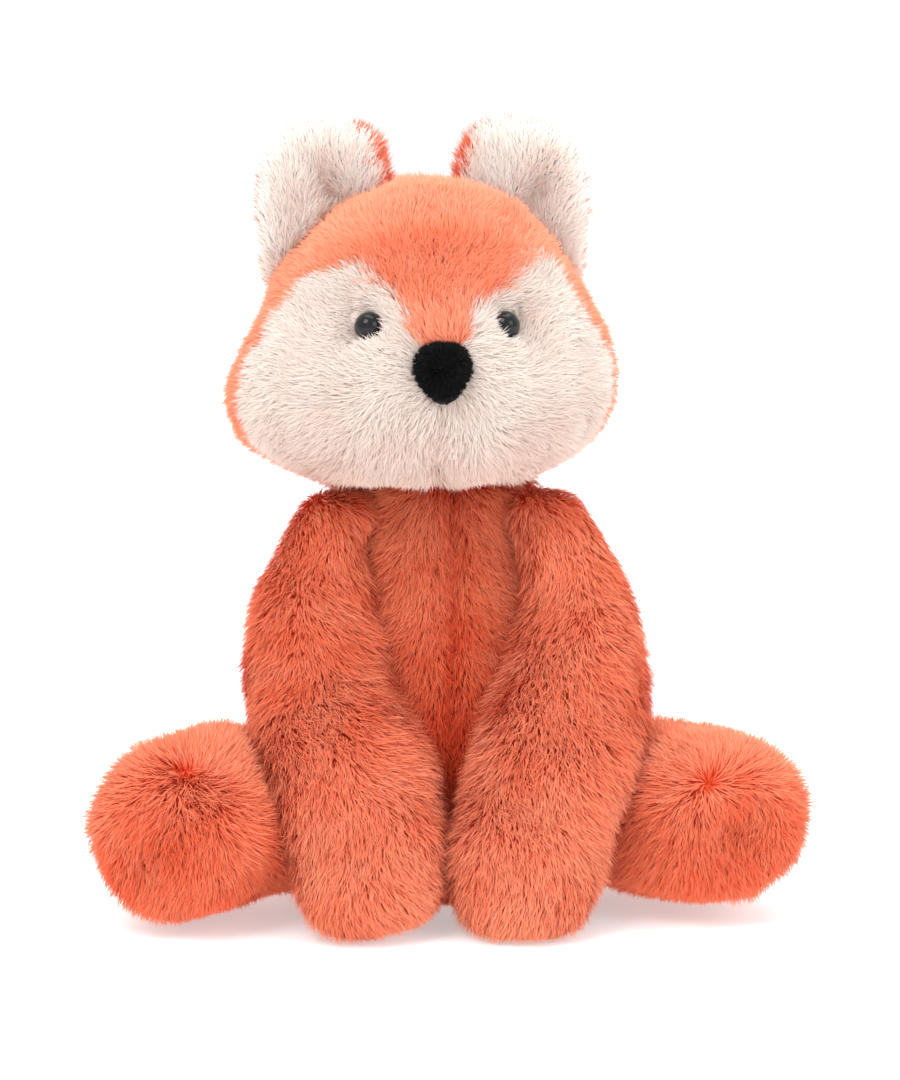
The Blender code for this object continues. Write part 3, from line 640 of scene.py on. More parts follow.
def shapeHead():
    mesh = skins["head"].data
    places, normals = numbersOf(mesh)
    local = inHead(places)
    heights, *halves = np.array(head["outline"]).T
    for half, (side, _) in zip(halves, sides):
        outwards = side * local[:, 0]
        widest = np.array([outwards[np.abs(local[:, 2] - h) < head["slice"]].max() for h in heights])
        local[:, 0] *= np.where(outwards > 0, np.interp(local[:, 2], heights, half / widest), 1.0)
    atNeck = 1.0 - rise(np.hypot(local[:, 0], local[:, 1]), *head["neck"])
    atNeck *= rise(-normals[:, 2], *head["neckFacing"])
    atNeck *= rise(local[:, 1], *head["neckFrom"])
    lift = head["chinLift"] - (head["chinLift"] + head["neckDrop"]) * atNeck
    local[:, 2] += lift * (1.0 - rise(local[:, 2], 0.0, head["chinHeight"]))
    setPlaces(mesh, fromHead(local))
    places, normals = numbersOf(mesh)
    local = inHead(places)
    front = rise(-local[:, 1], *head["front"])
    depth = -bump(overBrow(local) + head["browShift"], head["browThickness"])
    depth *= bump(local[:, 0], head["browSpan"])
    depth *= head["browHeight"]
    for side, _ in sides:
        outwards = side * local[:, 0] - head["eyeX"] - head["eyeHollowShift"]
        away = np.hypot(outwards, local[:, 2] - head["eyeZ"])
        depth += bump(away, head["eyeHollowWidth"]) * head["eyeHollow"]
    below = 1.0 - rise(local[:, 2], head["noseZ"] - head["seamEnd"], head["noseZ"])
    depth += bump(local[:, 0], head["seamWidth"]) * head["seamDepth"] * below
    setPlaces(mesh, places - normals * (depth * front)[:, None])


# How far the crown and the cheeks reach over each other's seams. The masks' mounds have a panel, a place
# across and up, a width and a reach
seams = {
    "front": (0.01, 0.03), "wedge": 0.0006, "wedgeShift": 0.0012, "wedgeWidth": 0.0060,
    "wedgeFrom": (0.040, 0.046), "rim": 0.0022, "rimFrom": (0.038, 0.054),
    "brow": 0.0011, "browFrom": (0.058, 0.068), "browReach": ((0.0, 0.006), (0.026, 0.036)),
    "masks": (
        ("cheek_left", -0.0235, 0.0690, 0.0060, 0.0004), ("cheek_right", 0.0310, 0.0680, 0.0055, 0.0026),
        ("head_crown", 0.0465, 0.0640, 0.0050, 0.0014),
    ),
    "meet": 0.02, "meetWidth": 0.012, "meetOver": 0.003,
}


# The crown reaches a little down its wedge and round the cheeks' rims, the cheeks reach up over the eyes
# and meet under the nose
def easeHead(name, middles, facings):
    local = inHead(middles)
    front = rise(-local[:, 1], *seams["front"])
    ease = np.zeros(len(local))
    for panel, x, z, width, reach in seams["masks"]:
        if panel == name:
            ease += reach * bump(np.hypot(local[:, 0] - x, local[:, 2] - z), width) * front
    if name == "head_crown":
        wedge = bump(local[:, 0] - seams["wedgeShift"], seams["wedgeWidth"])
        wedge *= rise(local[:, 2], *seams["wedgeFrom"])
        rim = rise(np.abs(local[:, 0]), *seams["rimFrom"])
        left, right = [1.0 - rise(side * local[:, 0], *r) for (side, _), r in zip(sides, seams["browReach"])]
        brow = rise(local[:, 2], *seams["browFrom"]) * left * right
        ease += seams["wedge"] * wedge * front + seams["rim"] * rim + seams["brow"] * brow * front
    if name.startswith("cheek"):
        low = local[:, 2] < head["noseZ"] + seams["meetOver"]
        ease += seams["meet"] * (np.abs(local[:, 0]) < seams["meetWidth"]) * low * (front > 0)
    return ease


# Cheeks: the nap runs out from a whorl over the nose, is short round the eyes, the nose and the chin, and
# darker by painted shade low down (with painted orange bounce light), in the seam and outside the eyes
cheeks = {
    "whorlUp": 0.004, "backwards": 0.8, "ruffle": (0.70, 60.0), "rim": (0.045, 0.058), "rimStand": 0.15,
    "tone": 0.88, "mottle": (0.34, 80.0, 4.0), "paintedLowShade": 0.90, "low": (0.002, 0.038),
    "paintedSeamShade": 0.25, "seamWidth": 0.0025, "uneven": (0.30, 85.0),
    "bareRadius": 0.0043, "bareShift": -0.0006, "eyeTrim": 0.55, "eyeTrimFrom": -0.001,
    "eyeTrimWidth": 0.008, "paintedEyeShadow": 0.35, "paintedEyeShadowWidth": 0.005, "paintedEyeShadowOut": 0.004,
    "paintedEyeShadowUp": 0.002, "noseBare": 0.007, "noseTrim": 0.25, "noseTrimWidth": 0.012,
    "chinReach": 0.70, "chinGain": 0.30, "chinEnd": 0.018,
}


def cheekNap(places, normals, local, seed):
    ways = local - np.array((0.0, 0.0, head["noseZ"] + cheeks["whorlUp"]))
    ways[:, 1] = cheeks["backwards"] * np.abs(local[:, 0])
    combs = combed(places, normals, turnedRows(ways, headTurn), cheeks["ruffle"], seed)
    combs *= (1.0 - cheeks["rimStand"] * rise(np.abs(local[:, 0]), *cheeks["rim"]))[:, None]
    tone = cheeks["tone"] + mottled(places, *cheeks["mottle"])
    # Painted shade low down, which also stands for orange light bounced off the body
    tone = tone - cheeks["paintedLowShade"] * (1.0 - rise(local[:, 2], *cheeks["low"]))
    # Painted shade in the seam under the nose
    tone -= cheeks["paintedSeamShade"] * bump(local[:, 0], cheeks["seamWidth"]) * (local[:, 2] < head["noseZ"])
    cover = coverOf(places, othersThan("head"))
    reach = 1.0 + mottled(places, *cheeks["uneven"], seed)
    for side, _ in sides:
        outwards = side * local[:, 0] - head["eyeX"]
        height = local[:, 2] - head["eyeZ"]
        bare = np.hypot(outwards - cheeks["bareShift"], height) < cheeks["bareRadius"]
        cover *= np.where(bare & (local[:, 1] < 0), 0.0, 1.0)
        trim = np.where(outwards > cheeks["eyeTrimFrom"], cheeks["eyeTrim"], 0.0)
        reach *= 1.0 - trim * bump(np.hypot(outwards, height), cheeks["eyeTrimWidth"])
        # Painted shadow outside and above each eye
        away = np.hypot(outwards - cheeks["paintedEyeShadowOut"], height - cheeks["paintedEyeShadowUp"])
        tone -= cheeks["paintedEyeShadow"] * bump(away, cheeks["paintedEyeShadowWidth"])
    away = np.hypot(local[:, 0], local[:, 2] - head["noseZ"])
    cover *= np.where(away < cheeks["noseBare"], 0.0, 1.0)
    low = cheeks["chinReach"] + cheeks["chinGain"] * rise(local[:, 2], 0.0, cheeks["chinEnd"])
    reach *= (1.0 - cheeks["noseTrim"] * bump(away, cheeks["noseTrimWidth"])) * low
    return {"comb": combs, "cover": cover, "reach": reach, "tone": tone}


# Crown and back: the nap stands up under the brow, where painted shade darkens it, lies smooth over the
# top and the sides, paler on top by painted light, and ends in a fringe by the cheeks. A painted highlight
# pales the bridge of the nose
crown = {
    "outwards": 9.0, "backwards": 0.5, "upwards": 0.9, "fall": 25.0, "backNap": (3.0, 0.2, -1.0),
    "ruffle": (0.70, 75.0), "front": (-0.01, 0.03), "roughUnder": (-0.002, 0.001),
    "roughFrom": (0.056, 0.066), "roughOut": (0.026, 0.038), "roughStand": 0.60, "paintedRoughShade": 0.22,
    "browWidth": 0.0018, "browSpan": 0.018, "paintedBrowShade": 0.40,
    "bridgeZ": 0.050, "bridgeHeight": 0.006, "bridgeWidth": 0.012, "paintedBridgeHighlight": 0.25,
    "fringe": (0.046, 0.058), "fringeStand": 0.25, "fringeShade": 0.35, "fringeReach": 0.10,
    "tone": 0.80, "mottle": (0.26, 95.0, 4.0), "paintedTopLight": 0.12, "uneven": (0.22, 80.0),
    "pile": {
        "look": "crown_pile", "length": 0.0072, "width": 0.00038, "lean": 0.62, "scatter": 0.26,
        "locks": 0.50, "pull": 0.36, "density": 5.6,
        "root": (0.96, 0.222, 0.105), "dark": (0.95, 0.272, 0.136), "pale": (0.98, 0.39, 0.240),
    },
    "backPile": {"width": 0.00044, "density": 4.0},
}


def crownNap(name, places, normals, local, seed):
    outwards = np.abs(local[:, 0])
    if name == "head_crown":
        up = crown["upwards"] - crown["fall"] * outwards
        ways = rowsOf(local[:, 0] * crown["outwards"], crown["backwards"], up)
        over = overBrow(local)
        front = rise(-local[:, 1], *crown["front"])
        rough = (1.0 - rise(over, *crown["roughUnder"])) * rise(local[:, 2], *crown["roughFrom"]) * front
        rough *= 1.0 - rise(outwards, *crown["roughOut"])
        brow = bump(over, crown["browWidth"]) * bump(local[:, 0], crown["browSpan"]) * front
        bridge = bump(local[:, 2] - crown["bridgeZ"], crown["bridgeHeight"])
        bridge *= bump(local[:, 0], crown["bridgeWidth"])
    else:
        out, back, up = crown["backNap"]
        ways = rowsOf(local[:, 0] * out, back, up)
        rough = brow = bridge = np.zeros(len(local))
    combs = combed(places, normals, turnedRows(ways, headTurn), crown["ruffle"], seed)
    combs *= (1.0 - crown["roughStand"] * rough)[:, None]
    # Paler on top by painted light from above
    tone = crown["tone"] + mottled(places, *crown["mottle"]) + crown["paintedTopLight"] * normals[:, 2]
    # Painted shade under and along the brow, and a painted highlight on the bridge of the nose
    tone -= crown["paintedRoughShade"] * rough + crown["paintedBrowShade"] * brow - crown["paintedBridgeHighlight"] * bridge
    fringe = rise(outwards, *crown["fringe"])
    return {
        "comb": combs * (1.0 - crown["fringeStand"] * fringe)[:, None],
        "cover": coverOf(places, othersThan("head")), "tone": tone - crown["fringeShade"] * fringe,
        "reach": 1.0 + mottled(places, *crown["uneven"], seed) + crown["fringeReach"] * fringe,
    }


def makeHead():
    fillSkin(skins["head"].data, "head", "head_stuffing")
    for seed, (name, mesh) in enumerate(panelsOf(skins["head"], headPanels, easeHead).items()):
        places, normals = numbersOf(mesh)
        local = inHead(places)
        if name.startswith("cheek"):
            pile, slot = creamPile, "cream_plush"
            nap = cheekNap(places, normals, local, seed)
        else:
            pile, slot = dict(crown["pile"], **(crown["backPile"] if "back" in name else {})), "orange_plush"
            nap = crownNap(name, places, normals, local, seed)
        plushPiece(name + "_plush", mesh, pile, "head", [name], nap, 10 + seed)


# Ears: pale and hollow in front, with a slanting fold darkened by painted shade, orange behind and on the
# edge by the crown
ears = {
    "spread": 1.05, "sink": 0.0130, "sinkFrom": (0.0020, 0.0160),
    "folds": {"left": 0.0312, "right": 0.0375}, "foldDepths": {"left": 0.0054, "right": 0.0042},
    "paintedFoldShades": {"left": 0.75, "right": 0.40}, "foldSlant": 0.28, "foldMiddle": 0.098,
    "foldWidth": 0.0042, "foldTop": 0.108, "foldRise": 0.016, "foldStand": 0.2, "foldTrim": 0.30,
    "paleEase": 0.0060, "paleFacing": 0.35, "orangeEase": 0.0080, "orangeFacing": (0.10, 0.40),
    "orangeEnd": 0.0250, "middle": 0.029, "upwards": 0.03, "ruffle": (0.45, 75.0),
    "tone": 0.96, "mottle": (0.20, 90.0, 2.0), "outerShade": 0.25, "uneven": (0.20, 80.0, 5.0),
    "inner": {
        "look": "ear_pile", "length": 0.0074, "width": 0.00040, "lean": 0.60, "scatter": 0.30,
        "locks": 0.50, "pull": 0.28, "density": 6.3,
        "root": (0.98, 0.86, 0.79), "dark": (0.96, 0.74, 0.62), "pale": (1.00, 0.95, 0.905),
    },
    "outer": dict(orangePile, length=0.0066, width=0.00040, density=4.8),
}


def foldOf(side, word, local):
    up = 1.0 - rise(local[:, 2], ears["foldTop"] - ears["foldRise"], ears["foldTop"])
    middle = ears["folds"][word] + ears["foldSlant"] * (local[:, 2] - ears["foldMiddle"])
    return bump(side * local[:, 0] - middle, ears["foldWidth"]) * up


# Draws the foot of an ear down into the head
def sinkEar(mesh):
    places, _ = numbersOf(mesh)
    for place in places:
        spot, normal, _, _ = trees["head"].find_nearest(Vector(place))
        over = (Vector(place) - spot).dot(normal)
        place[2] -= ears["sink"] * (1.0 - rise(over, *ears["sinkFrom"]))
    setPlaces(mesh, places)


# Spreads an ear away from the middle of the head, from its own inner edge
def spreadEar(mesh, side):
    places, _ = numbersOf(mesh)
    local = inHead(places)
    edge = side * (side * local[:, 0]).min()
    local[:, 0] = edge + (local[:, 0] - edge) * ears["spread"]
    setPlaces(mesh, fromHead(local))


def makeEar(side, word):
    mesh = skins["ear_" + word].data
    spreadEar(mesh, side)
    sinkEar(mesh)

    def easeEar(name, middles, facings):
        inwards = -side * facings[:, 0] * (side * inHead(middles)[:, 0] < ears["orangeEnd"])
        if name.endswith("outer"):
            return ears["orangeEase"] * rise(inwards, *ears["orangeFacing"])
        return ears["paleEase"] * (inwards < ears["orangeFacing"][0]) * (facings[:, 1] < ears["paleFacing"])

    places, normals = numbersOf(mesh)
    facing = np.clip(-turnedRows(normals, -headTurn)[:, 1], 0.0, 1.0)
    push = foldOf(side, word, inHead(places)) * facing * ears["foldDepths"][word]
    setPlaces(mesh, places - normals * push[:, None])
    panels = panelsOf(skins["ear_" + word], [f"ear_{word}_outer", f"ear_{word}_inner"], easeEar)
    for k, (name, panel) in enumerate(panels.items()):
        places, normals = numbersOf(panel)
        local = inHead(places)
        ways = local - np.array((side * ears["middle"], 0.0, 0.0))
        ways[:, 1], ways[:, 2] = 0.0, ears["upwards"]
        combs = combed(places, normals, turnedRows(ways, headTurn), ears["ruffle"], k)
        inner = name.endswith("inner")
        fold = foldOf(side, word, local)
        # The fold in front is darkened by painted shade
        shade = ears["paintedFoldShades"][word] * fold if inner else ears["outerShade"]
        nap = {
            "comb": combs * (1.0 - ears["foldStand"] * fold)[:, None],
            "cover": coverOf(places, othersThan("ear_" + word)),
            "tone": ears["tone"] + mottled(places, *ears["mottle"]) - shade,
            "reach": 1.0 + mottled(places, *ears["uneven"]) - ears["foldTrim"] * fold,
        }
        plushPiece(name + "_plush", panel, ears["inner" if inner else "outer"], "head", [name],
                   nap, 30 + k + 2 * side)


# Torso: four panels and the seat, combed down and out from the middle. The front's pile is darker at the
# roots and in its dark strands than the orange pile, as painted shade under the head and between the arms,
# with more painted shade low in front and in its seam
torso = {
    "seamX": 0.0005, "seamWidth": 0.0022, "seamDepth": 0.0024, "lift": 0.0035, "liftFrom": (0.122, 0.134),
    "outwards": 14.0, "outwardsHigh": 34.0, "high": (0.095, 0.135), "ruffle": (0.35, 50.0),
    "tone": 0.66, "mottle": (0.30, 60.0, 7.0), "paintedSeamShade": 0.40, "paintedSeamShadeWidth": 0.0025,
    "paintedLowShade": 0.95, "low": (0.035, 0.105), "uneven": (0.15, 50.0),
    # The front's pile: darker at the roots and in its dark strands than the orange pile, as painted shade
    "front": {
        "look": "belly_pile_painted_shade", "length": 0.0076, "width": 0.00043, "lean": 0.54, "scatter": 0.28,
        "locks": 0.55, "pull": 0.36, "density": 4.3,
        "root": (0.78, 0.074, 0.024), "dark": (0.78, 0.085, 0.028), "pale": (0.99, 0.340, 0.180),
    },
    "seat": dict(orangePile, density=2.4),
}


def makeTorso():
    mesh = skins["torso"].data
    places, normals = numbersOf(mesh)
    seam = bump(places[:, 0] - torso["seamX"], torso["seamWidth"]) * (places[:, 1] < 0) * torso["seamDepth"]
    places = places - normals * seam[:, None]
    places[:, 2] += torso["lift"] * rise(places[:, 2], *torso["liftFrom"])
    setPlaces(mesh, places)
    fillSkin(mesh, "torso", "torso_stuffing", frame["nodes"]["pellet_bag"])
    for seed, (name, panel) in enumerate(panelsOf(skins["torso"], torsoPanels).items()):
        places, normals = numbersOf(panel)
        fan = torso["outwards"] + torso["outwardsHigh"] * rise(places[:, 2], *torso["high"])
        ways = rowsOf(places[:, 0] * fan, 0.0, -1.0)
        pile, slot = orangePile, "orange_plush"
        tone = torso["tone"] + mottled(places, *torso["mottle"])
        if "front" in name:
            pile, slot = torso["front"], "belly_plush"
            # Painted shade in the seam and low in front
            tone -= torso["paintedSeamShade"] * bump(places[:, 0] - torso["seamX"], torso["paintedSeamShadeWidth"])
            tone -= torso["paintedLowShade"] * (1.0 - rise(places[:, 2], *torso["low"]))
        elif name == "torso_seat":
            pile, ways = torso["seat"], rowsOf(places[:, 0], places[:, 1], 0.0)
        nap = {
            "comb": combed(places, normals, ways, torso["ruffle"], seed + 3),
            "cover": coverOf(places, othersThan("torso")), "tone": tone,
            "reach": 1.0 + mottled(places, *torso["uneven"], seed),
        }
        plushPiece(name + "_plush", panel, pile, "torso", [name], nap, 40 + seed)


lumpScale = 38.0


# Small soft lumps, as loose stuffing makes
def lumpy(mesh, height, seed):
    places, normals = numbersOf(mesh)
    setPlaces(mesh, places + normals * (noiseAt(places, lumpScale, seed) * height)[:, None])


# Arms: the nap runs out from the middle of the arm and down to the paw, with tufts outside the shoulders.
# The shoulders are drawn in towards the neck, and the pile is short on them and under the paws
arms = {
    "lump": 0.0032, "bulges": (0.0020, 0.0), "bulgeZ": 0.097, "bulgeWidth": 0.013,
    "narrow": 0.0045, "narrowFrom": (0.100, 0.128),
    "topX": 0.0425, "pawX": 0.0235, "bendFrom": (0.35, 0.85), "fan": 13.0, "drift": (0.40, 0.15),
    "forwards": -0.35, "ruffle": (0.60, 46.0), "shoulder": (0.100, 0.120), "shoulderLean": 0.5,
    "shoulderTrim": 0.30, "under": (0.3, 0.8), "underTrim": 0.4, "behind": (0.2, 0.6), "behindTrim": 0.4,
    "tuft": 0.9, "tuftScale": 60.0, "tuftLeast": 0.12, "tuftZ": 0.085, "tuftHeight": 0.015,
    "tuftFacing": 0.2, "tones": (0.50, 0.58), "mottle": (0.34, 80.0), "paintedTopLight": 0.10,
    "paintedPawLight": 0.36, "paw": (0.030, 0.085), "uneven": (0.26, 70.0),
    "pile": dict(orangePile, lean=0.53, density=4.6),
}


def makeArms():
    for (side, word), drift, bulge, tone in zip(sides, arms["drift"], arms["bulges"], arms["tones"]):
        mesh = skins["arm_" + word].data
        lumpy(mesh, arms["lump"], 5.0 + side)
        places, normals = numbersOf(mesh)
        near = bump(places[:, 2] - arms["bulgeZ"], arms["bulgeWidth"])
        places = places + normals * (np.clip(side * normals[:, 0], 0.0, 1.0) * near * bulge)[:, None]
        places[:, 0] -= side * arms["narrow"] * rise(places[:, 2], *arms["narrowFrom"])
        setPlaces(mesh, places)
        fillSkin(mesh, "arm_" + word, f"arm_{word}_stuffing")
        places, normals = numbersOf(mesh)
        drop = 1.0 - rise(places[:, 2], 0.0, joints["head_turn"].z)
        middle = side * (arms["topX"] + (arms["pawX"] - arms["topX"]) * rise(drop, *arms["bendFrom"]))
        ways = rowsOf((places[:, 0] - middle) * arms["fan"] + drift, arms["forwards"], -1.0)
        combs = combed(places, normals, ways, arms["ruffle"], 20.0 + side)
        tufts = np.clip(noiseAt(places, arms["tuftScale"], 17.0 + side) - arms["tuftLeast"], 0.0, 1.0)
        outside = side * normals[:, 0] > arms["tuftFacing"]
        tufts *= bump(places[:, 2] - arms["tuftZ"], arms["tuftHeight"]) * outside
        shoulder = rise(places[:, 2], *arms["shoulder"])
        under = rise(-normals[:, 2], *arms["under"])
        behind = rise(normals[:, 1], *arms["behind"])
        paw = 1.0 - rise(places[:, 2], *arms["paw"])
        reach = 1.0 + mottled(places, *arms["uneven"], 13.0 + side) + arms["tuft"] * tufts
        # Paler on top by painted light from above
        tone = tone + mottled(places, *arms["mottle"], 9.0 + side) + arms["paintedTopLight"] * normals[:, 2]
        nap = {
            "comb": combs * (1.0 + arms["shoulderLean"] * shoulder)[:, None],
            "cover": coverOf(places, othersThan("arm_" + word)) * (1.0 - arms["behindTrim"] * behind),
            "reach": reach * (1.0 - arms["shoulderTrim"] * shoulder) * (1.0 - arms["underTrim"] * under),
            # Paler towards the paws by painted light
            "tone": tone + arms["paintedPawLight"] * paw,
        }
        plushPiece(f"arm_{word}_plush", mesh.copy(), arms["pile"], f"arm_{word}", [f"arm_{word}"],
                   nap, 50 + side)


# Legs: the nap runs from a whorl high on the front of each foot. Over and under their middle the legs are
# flattened a little, each foot by its own share
legs = {
    "lump": 0.0034, "middle": 0.034, "top": 0.83, "bottoms": (0.99, 0.95),
    "whorls": ((-0.081, -0.075, 0.062), (0.0837, -0.078, 0.054)), "whorlWidth": 0.014,
    "whorlStand": 0.4, "whorlShade": 0.10, "downwards": -0.25, "ruffle": (0.85, 44.0),
    "tone": 0.42, "mottle": (0.34, 70.0), "paintedTopLight": 0.55, "topFacing": (0.0, 0.9),
    "under": (0.4, 0.9), "underTrim": 0.4, "uneven": (0.55, 60.0),
    "pile": dict(orangePile, density=4.6),
}


def makeLegs():
    for (side, word), whorl, bottom in zip(sides, legs["whorls"], legs["bottoms"]):
        mesh = skins["leg_" + word].data
        lumpy(mesh, legs["lump"], 15.0 + side)
        places, _ = numbersOf(mesh)
        height = places[:, 2] - legs["middle"]
        places[:, 2] = legs["middle"] + height * np.where(height > 0.0, legs["top"], bottom)
        setPlaces(mesh, places)
        fillSkin(mesh, "leg_" + word, f"leg_{word}_stuffing")
        places, normals = numbersOf(mesh)
        ways = places - np.array(whorl)
        near = bump(np.linalg.norm(ways, axis=1), legs["whorlWidth"])
        ways = unitRows(ways) + np.array((0.0, 0.0, legs["downwards"]))
        combs = combed(places, normals, ways, legs["ruffle"], 30.0 + side)
        tone = legs["tone"] + mottled(places, *legs["mottle"], 19.0 + side)
        # Paler on the tops of the feet by painted light from above
        tone = tone + legs["paintedTopLight"] * rise(normals[:, 2], *legs["topFacing"])
        under = 1.0 - legs["underTrim"] * rise(-normals[:, 2], *legs["under"])
        nap = {
            "comb": combs * (1.0 - legs["whorlStand"] * near)[:, None],
            "cover": coverOf(places, othersThan("leg_" + word)) * under,
            "reach": (1.0 + mottled(places, *legs["uneven"], 23.0 + side)) * under,
            "tone": tone - legs["whorlShade"] * near,
        }
        plushPiece(f"leg_{word}_plush", mesh.copy(), legs["pile"], f"leg_{word}", [f"leg_{word}"],
                   nap, 60 + side)


# Tail: orange with a cream tip, combed back from the seat
tail = {
    "lump": 0.0030, "outwards": 6.0, "downwards": -0.1, "ruffle": (0.45, 40.0), "tone": 0.54,
    "mottle": (0.28, 48.0, 29.0), "paintedTopLight": 0.12, "tipShine": 0.25, "uneven": (0.2, 50.0, 33.0),
    "pile": dict(orangePile, density=3.4),
}


def makeTail():
    lumpy(skins["tail"].data, tail["lump"], 25.0)
    fillSkin(skins["tail"].data, "tail", "tail_stuffing")
    for seed, (name, panel) in enumerate(panelsOf(skins["tail"], ["tail", "tail_tip"]).items()):
        places, normals = numbersOf(panel)
        ways = rowsOf(places[:, 0] * tail["outwards"], 1.0, tail["downwards"])
        tip = name == "tail_tip"
        # Paler on top by painted light from above
        tone = tail["tone"] + mottled(places, *tail["mottle"]) + tail["paintedTopLight"] * normals[:, 2]
        nap = {
            "comb": combed(places, normals, ways, tail["ruffle"], 40.0),
            "cover": coverOf(places, othersThan("tail")),
            "reach": 1.0 + mottled(places, *tail["uneven"]),
            "tone": tone + tail["tipShine"] * tip,
        }
        plushPiece(name + "_plush", panel, creamPile if tip else tail["pile"], "tail", [name],
                   nap, 70 + seed)


shapeHead()
trees = {name: treeOf(skin) for name, skin in skins.items()}
print("growing the pile")
makeHead()
for side, word in sides:
    makeEar(side, word)
makeTorso()
makeArms()
makeLegs()
makeTail()


# Nose: a black velvet pad, a little narrower below
nose = {
    "width": 0.95, "swell": 0.34, "taper": 0.42, "taperBend": 1.3, "top": 0.86, "drop": 0.10,
    "downwards": 0.4, "ruffle": (0.8, 200.0), "bareBehind": (0.3, 0.6), "tone": 0.5,
    "mottle": (0.6, 300.0, 1.0),
    "pile": {
        "look": "black_velvet", "length": 0.0023, "width": 0.00032, "lean": 0.30, "scatter": 0.32,
        "locks": 1.0, "pull": 0.45, "density": 17.0,
        "root": (0.002, 0.002, 0.002), "dark": (0.002, 0.002, 0.002), "pale": (0.009, 0.008, 0.008),
    },
}


def makeNose():
    skin = softSkin(["nose_cover", "nose_stuffing"], **forms["nose"])
    mesh = skin.data.copy()
    removeObject(skin)
    places, _ = numbersOf(mesh)
    local = inHead(places)
    middle = (local.min(axis=0) + local.max(axis=0)) / 2
    half = (local.max(axis=0) - local.min(axis=0)) / 2
    height = np.clip((local[:, 2] - middle[2]) / half[2], -1.0, 1.0)
    above, below = np.clip(height, 0.0, 1.0), np.clip(-height, 0.0, 1.0)
    share = 1.0 + nose["swell"] * above**2 - nose["taper"] * below ** nose["taperBend"]
    local[:, 0] = middle[0] + (local[:, 0] - middle[0]) * (nose["width"] * share)
    local[:, 2] = middle[2] + (local[:, 2] - middle[2]) * np.where(height > 0.0, nose["top"], 1.0)
    local[:, 2] -= nose["drop"] * below * half[2]
    setPlaces(mesh, fromHead(local))
    places, normals = numbersOf(mesh)
    ways = rowsOf(normals[:, 0], 0.0, normals[:, 2] - nose["downwards"])
    nap = {
        "comb": combed(places, normals, ways, nose["ruffle"], 1.0),
        "cover": 1.0 - rise(normals[:, 1], *nose["bareBehind"]),
        "tone": nose["tone"] + mottled(places, *nose["mottle"]),
    }
    plushPiece("nose_velvet", mesh, nose["pile"], "head", ["nose_cover"], nap, 80)


# Eyes: glossy black domes on ribbed shanks, each on the line from its washer to its front
eyes = {
    "radius": 0.0048, "depth": 0.0050, "rings": 20, "segments": 40, "edge": 0.94, "step": 0.0003,
    "shank": 0.0016, "neck": 0.0013, "lip": 0.0001, "ribs": 4, "weld": 1e-6, "sharp": math.radians(45),
    "colour": (0.006, 0.006, 0.007), "roughness": 0.06, "gloss": 0.30,
}


def makeEyes():
    plastic = plasticMaterial("eye_plastic", eyes["colour"], eyes["roughness"], eyes["gloss"])
    for _, word in sides:
        places, _ = numbersOf(frame["nodes"]["eye_" + word].data)
        washer, _ = numbersOf(frame["nodes"]["eye_washer_" + word].data)
        heart = Vector(washer.mean(axis=0))
        axis = (Vector(places.mean(axis=0)) - heart).normalized()
        reach = [Vector(p).dot(axis) for p in places]
        front, back = max(reach), min(reach)
        heart -= axis * heart.dot(axis)
        profile = [(0.0, front)]
        for k in range(1, eyes["rings"] + 1):
            turn = math.pi / 2 * k / eyes["rings"]
            profile.append((eyes["radius"] * math.sin(turn), front - eyes["depth"] * (1.0 - math.cos(turn))))
        under = front - eyes["depth"] - eyes["step"]
        profile += [(eyes["radius"] * eyes["edge"], under), (eyes["shank"], under)]
        for k in range(eyes["ribs"]):
            at = under - (under - back) * (k + 0.5) / eyes["ribs"]
            profile += [(eyes["shank"], at), (eyes["neck"], at - eyes["lip"])]
        profile += [(eyes["neck"], back), (0.0, back)]
        bm = bmesh.new()
        line = [bm.verts.new((r, 0.0, h)) for r, h in profile]
        for a, b in zip(line, line[1:]):
            bm.edges.new((a, b))
        bmesh.ops.spin(
            bm, geom=bm.verts[:] + bm.edges[:], axis=(0, 0, 1), cent=(0, 0, 0), angle=math.tau,
            steps=eyes["segments"], use_merge=True,
        )
        bmesh.ops.remove_doubles(bm, verts=bm.verts, dist=eyes["weld"])
        bmesh.ops.recalc_face_normals(bm, faces=bm.faces)
        bm.transform(Matrix.Translation(heart) @ axis.to_track_quat("Z", "Y").to_matrix().to_4x4())
        mesh = meshFrom(bm, "eye_" + word)
        mesh.materials.append(plastic)
        mesh.shade_smooth()
        mesh.set_sharp_from_angle(angle=eyes["sharp"])
        made = meshObject(f"eye_{word}_plastic", mesh)
        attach(made, "head")
        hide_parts("eye_" + word)


# What the skins hold: loose fibre, the pellets' bag and the washers behind the eyes
def dressInside():
    linen = clothMaterial("bag_linen", (0.72, 0.67, 0.58), 900.0, 0.9, 0.6)
    nylon = plasticMaterial("washer_nylon", (0.80, 0.80, 0.78), 0.45)
    for name, node in frame["nodes"].items():
        for word, finish in (("stuffing", fibre), ("pellet_bag", linen), ("washer", nylon)):
            if word in name:
                for slot in node.material_slots:
                    slot.material = finish


makeNose()
makeEyes()
dressInside()
for skin in skins.values():
    removeObject(skin)
removeObject(blankStrand)
print(f"{triangles['drawn']} triangles of plush")


# Floor, light and camera
stage = {
    "radius": 6.0, "segments": 64, "roughness": 0.8, "pale": (0.84, 0.84, 0.84),
    "palest": (0.86, 0.86, 0.86), "glow": 0.42, "sky": 1.05,
}
lamps = {
    "keyLight": {"place": (-0.7, -1.1, 1.5), "size": (0.9, 0.9), "power": 14.0},
    "fillLight": {"place": (1.1, -1.0, 0.8), "size": (0.8, 0.8), "power": 5.0},
    "topLight": {"place": (0.1, 0.2, 1.6), "size": (1.2, 1.0), "power": 9.0},
}
view = {
    "target": (0.0, -0.008, 0.119), "distance": 1.15, "down": 8.0, "pixel": 0.00033, "rows": 1080,
    "sensor": 24.0, "clip": (0.01, 20.0),
}


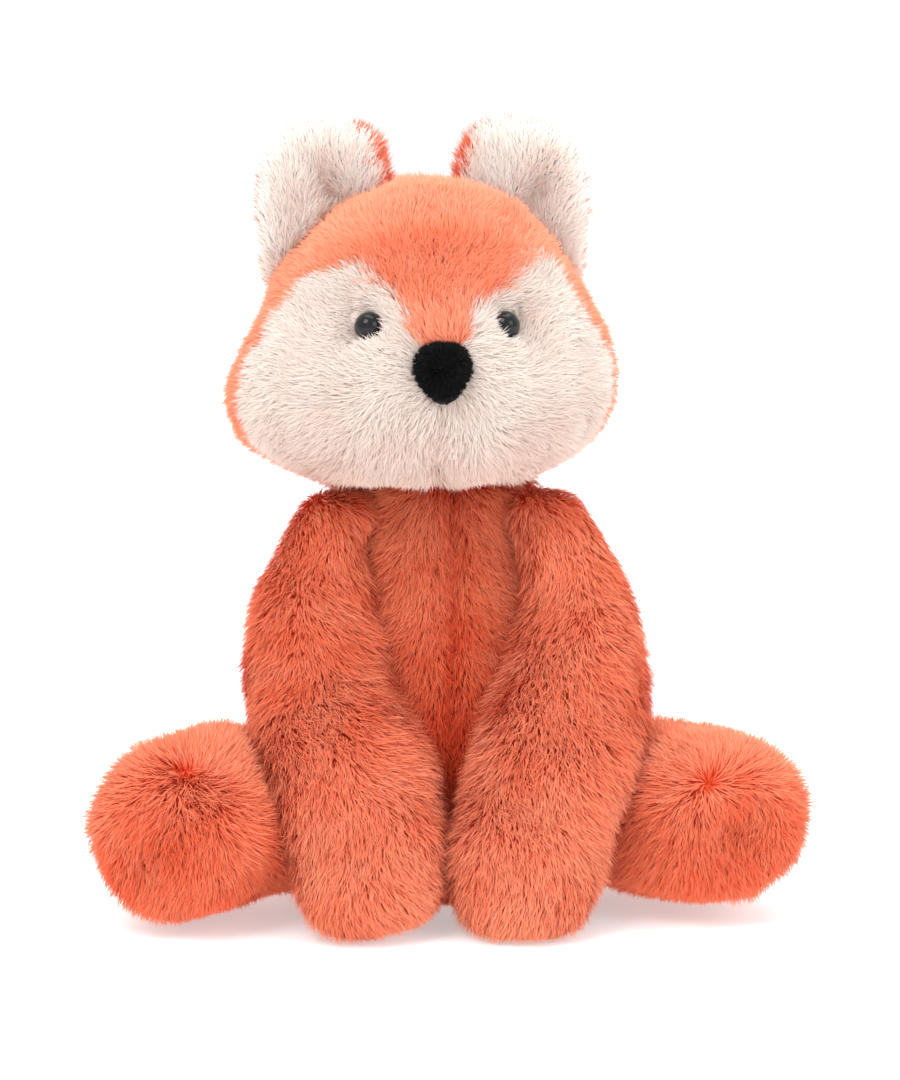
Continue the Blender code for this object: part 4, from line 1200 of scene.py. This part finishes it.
def makeStage():
    bm = bmesh.new()
    bmesh.ops.create_circle(bm, cap_ends=True, radius=stage["radius"], segments=stage["segments"])
    floor = meshObject("floor", meshFrom(bm, "floor"))
    pale, tree, shader = newMaterial("pale_floor", stage["roughness"])
    place = wire(tree, "ShaderNodeTexCoord").outputs["Object"]
    cloud = wire(tree, "ShaderNodeTexNoise", {"Vector": place, "Scale": 3.0})
    tint = ramp(tree, cloud.outputs["Fac"], [(0.3, stage["pale"]), (0.7, stage["palest"])])
    tree.links.new(tint, shader.inputs["Base Color"])
    shader.inputs["Emission Color"].default_value = (1.0, 1.0, 1.0, 1.0)
    shader.inputs["Emission Strength"].default_value = stage["glow"]
    floor.data.materials.append(pale)


def makeLight():
    world = bpy.data.worlds.new("studio")
    world.use_nodes = True
    sky = world.node_tree.nodes["Background"]
    sky.inputs["Color"].default_value = (1.0, 1.0, 1.0, 1.0)
    sky.inputs["Strength"].default_value = stage["sky"]
    bpy.context.scene.world = world
    for name, lamp in lamps.items():
        data = bpy.data.lights.new(name, "AREA")
        data.shape = "RECTANGLE"
        data.size, data.size_y = lamp["size"]
        data.energy = lamp["power"]
        made = bpy.data.objects.new(name, data)
        made.location = lamp["place"]
        towards = Vector(view["target"]) - made.location
        made.rotation_euler = towards.to_track_quat("-Z", "Y").to_euler()
        bpy.context.scene.collection.objects.link(made)


def makeCamera():
    data = bpy.data.cameras.new("camera")
    camera = bpy.data.objects.new("camera", data)
    target, down = Vector(view["target"]), math.radians(view["down"])
    camera.location = target + Vector((0.0, -math.cos(down), math.sin(down))) * view["distance"]
    camera.rotation_euler = (target - camera.location).to_track_quat("-Z", "Y").to_euler()
    data.sensor_fit = "VERTICAL"
    data.sensor_height = view["sensor"]
    data.lens = data.sensor_height / (view["rows"] * view["pixel"] / view["distance"])
    data.clip_start, data.clip_end = view["clip"]
    bpy.context.scene.collection.objects.link(camera)
    bpy.context.scene.camera = camera
    bpy.context.scene.view_settings.view_transform = "Standard"


print("stage, light and camera")
makeStage()
makeLight()
makeCamera()
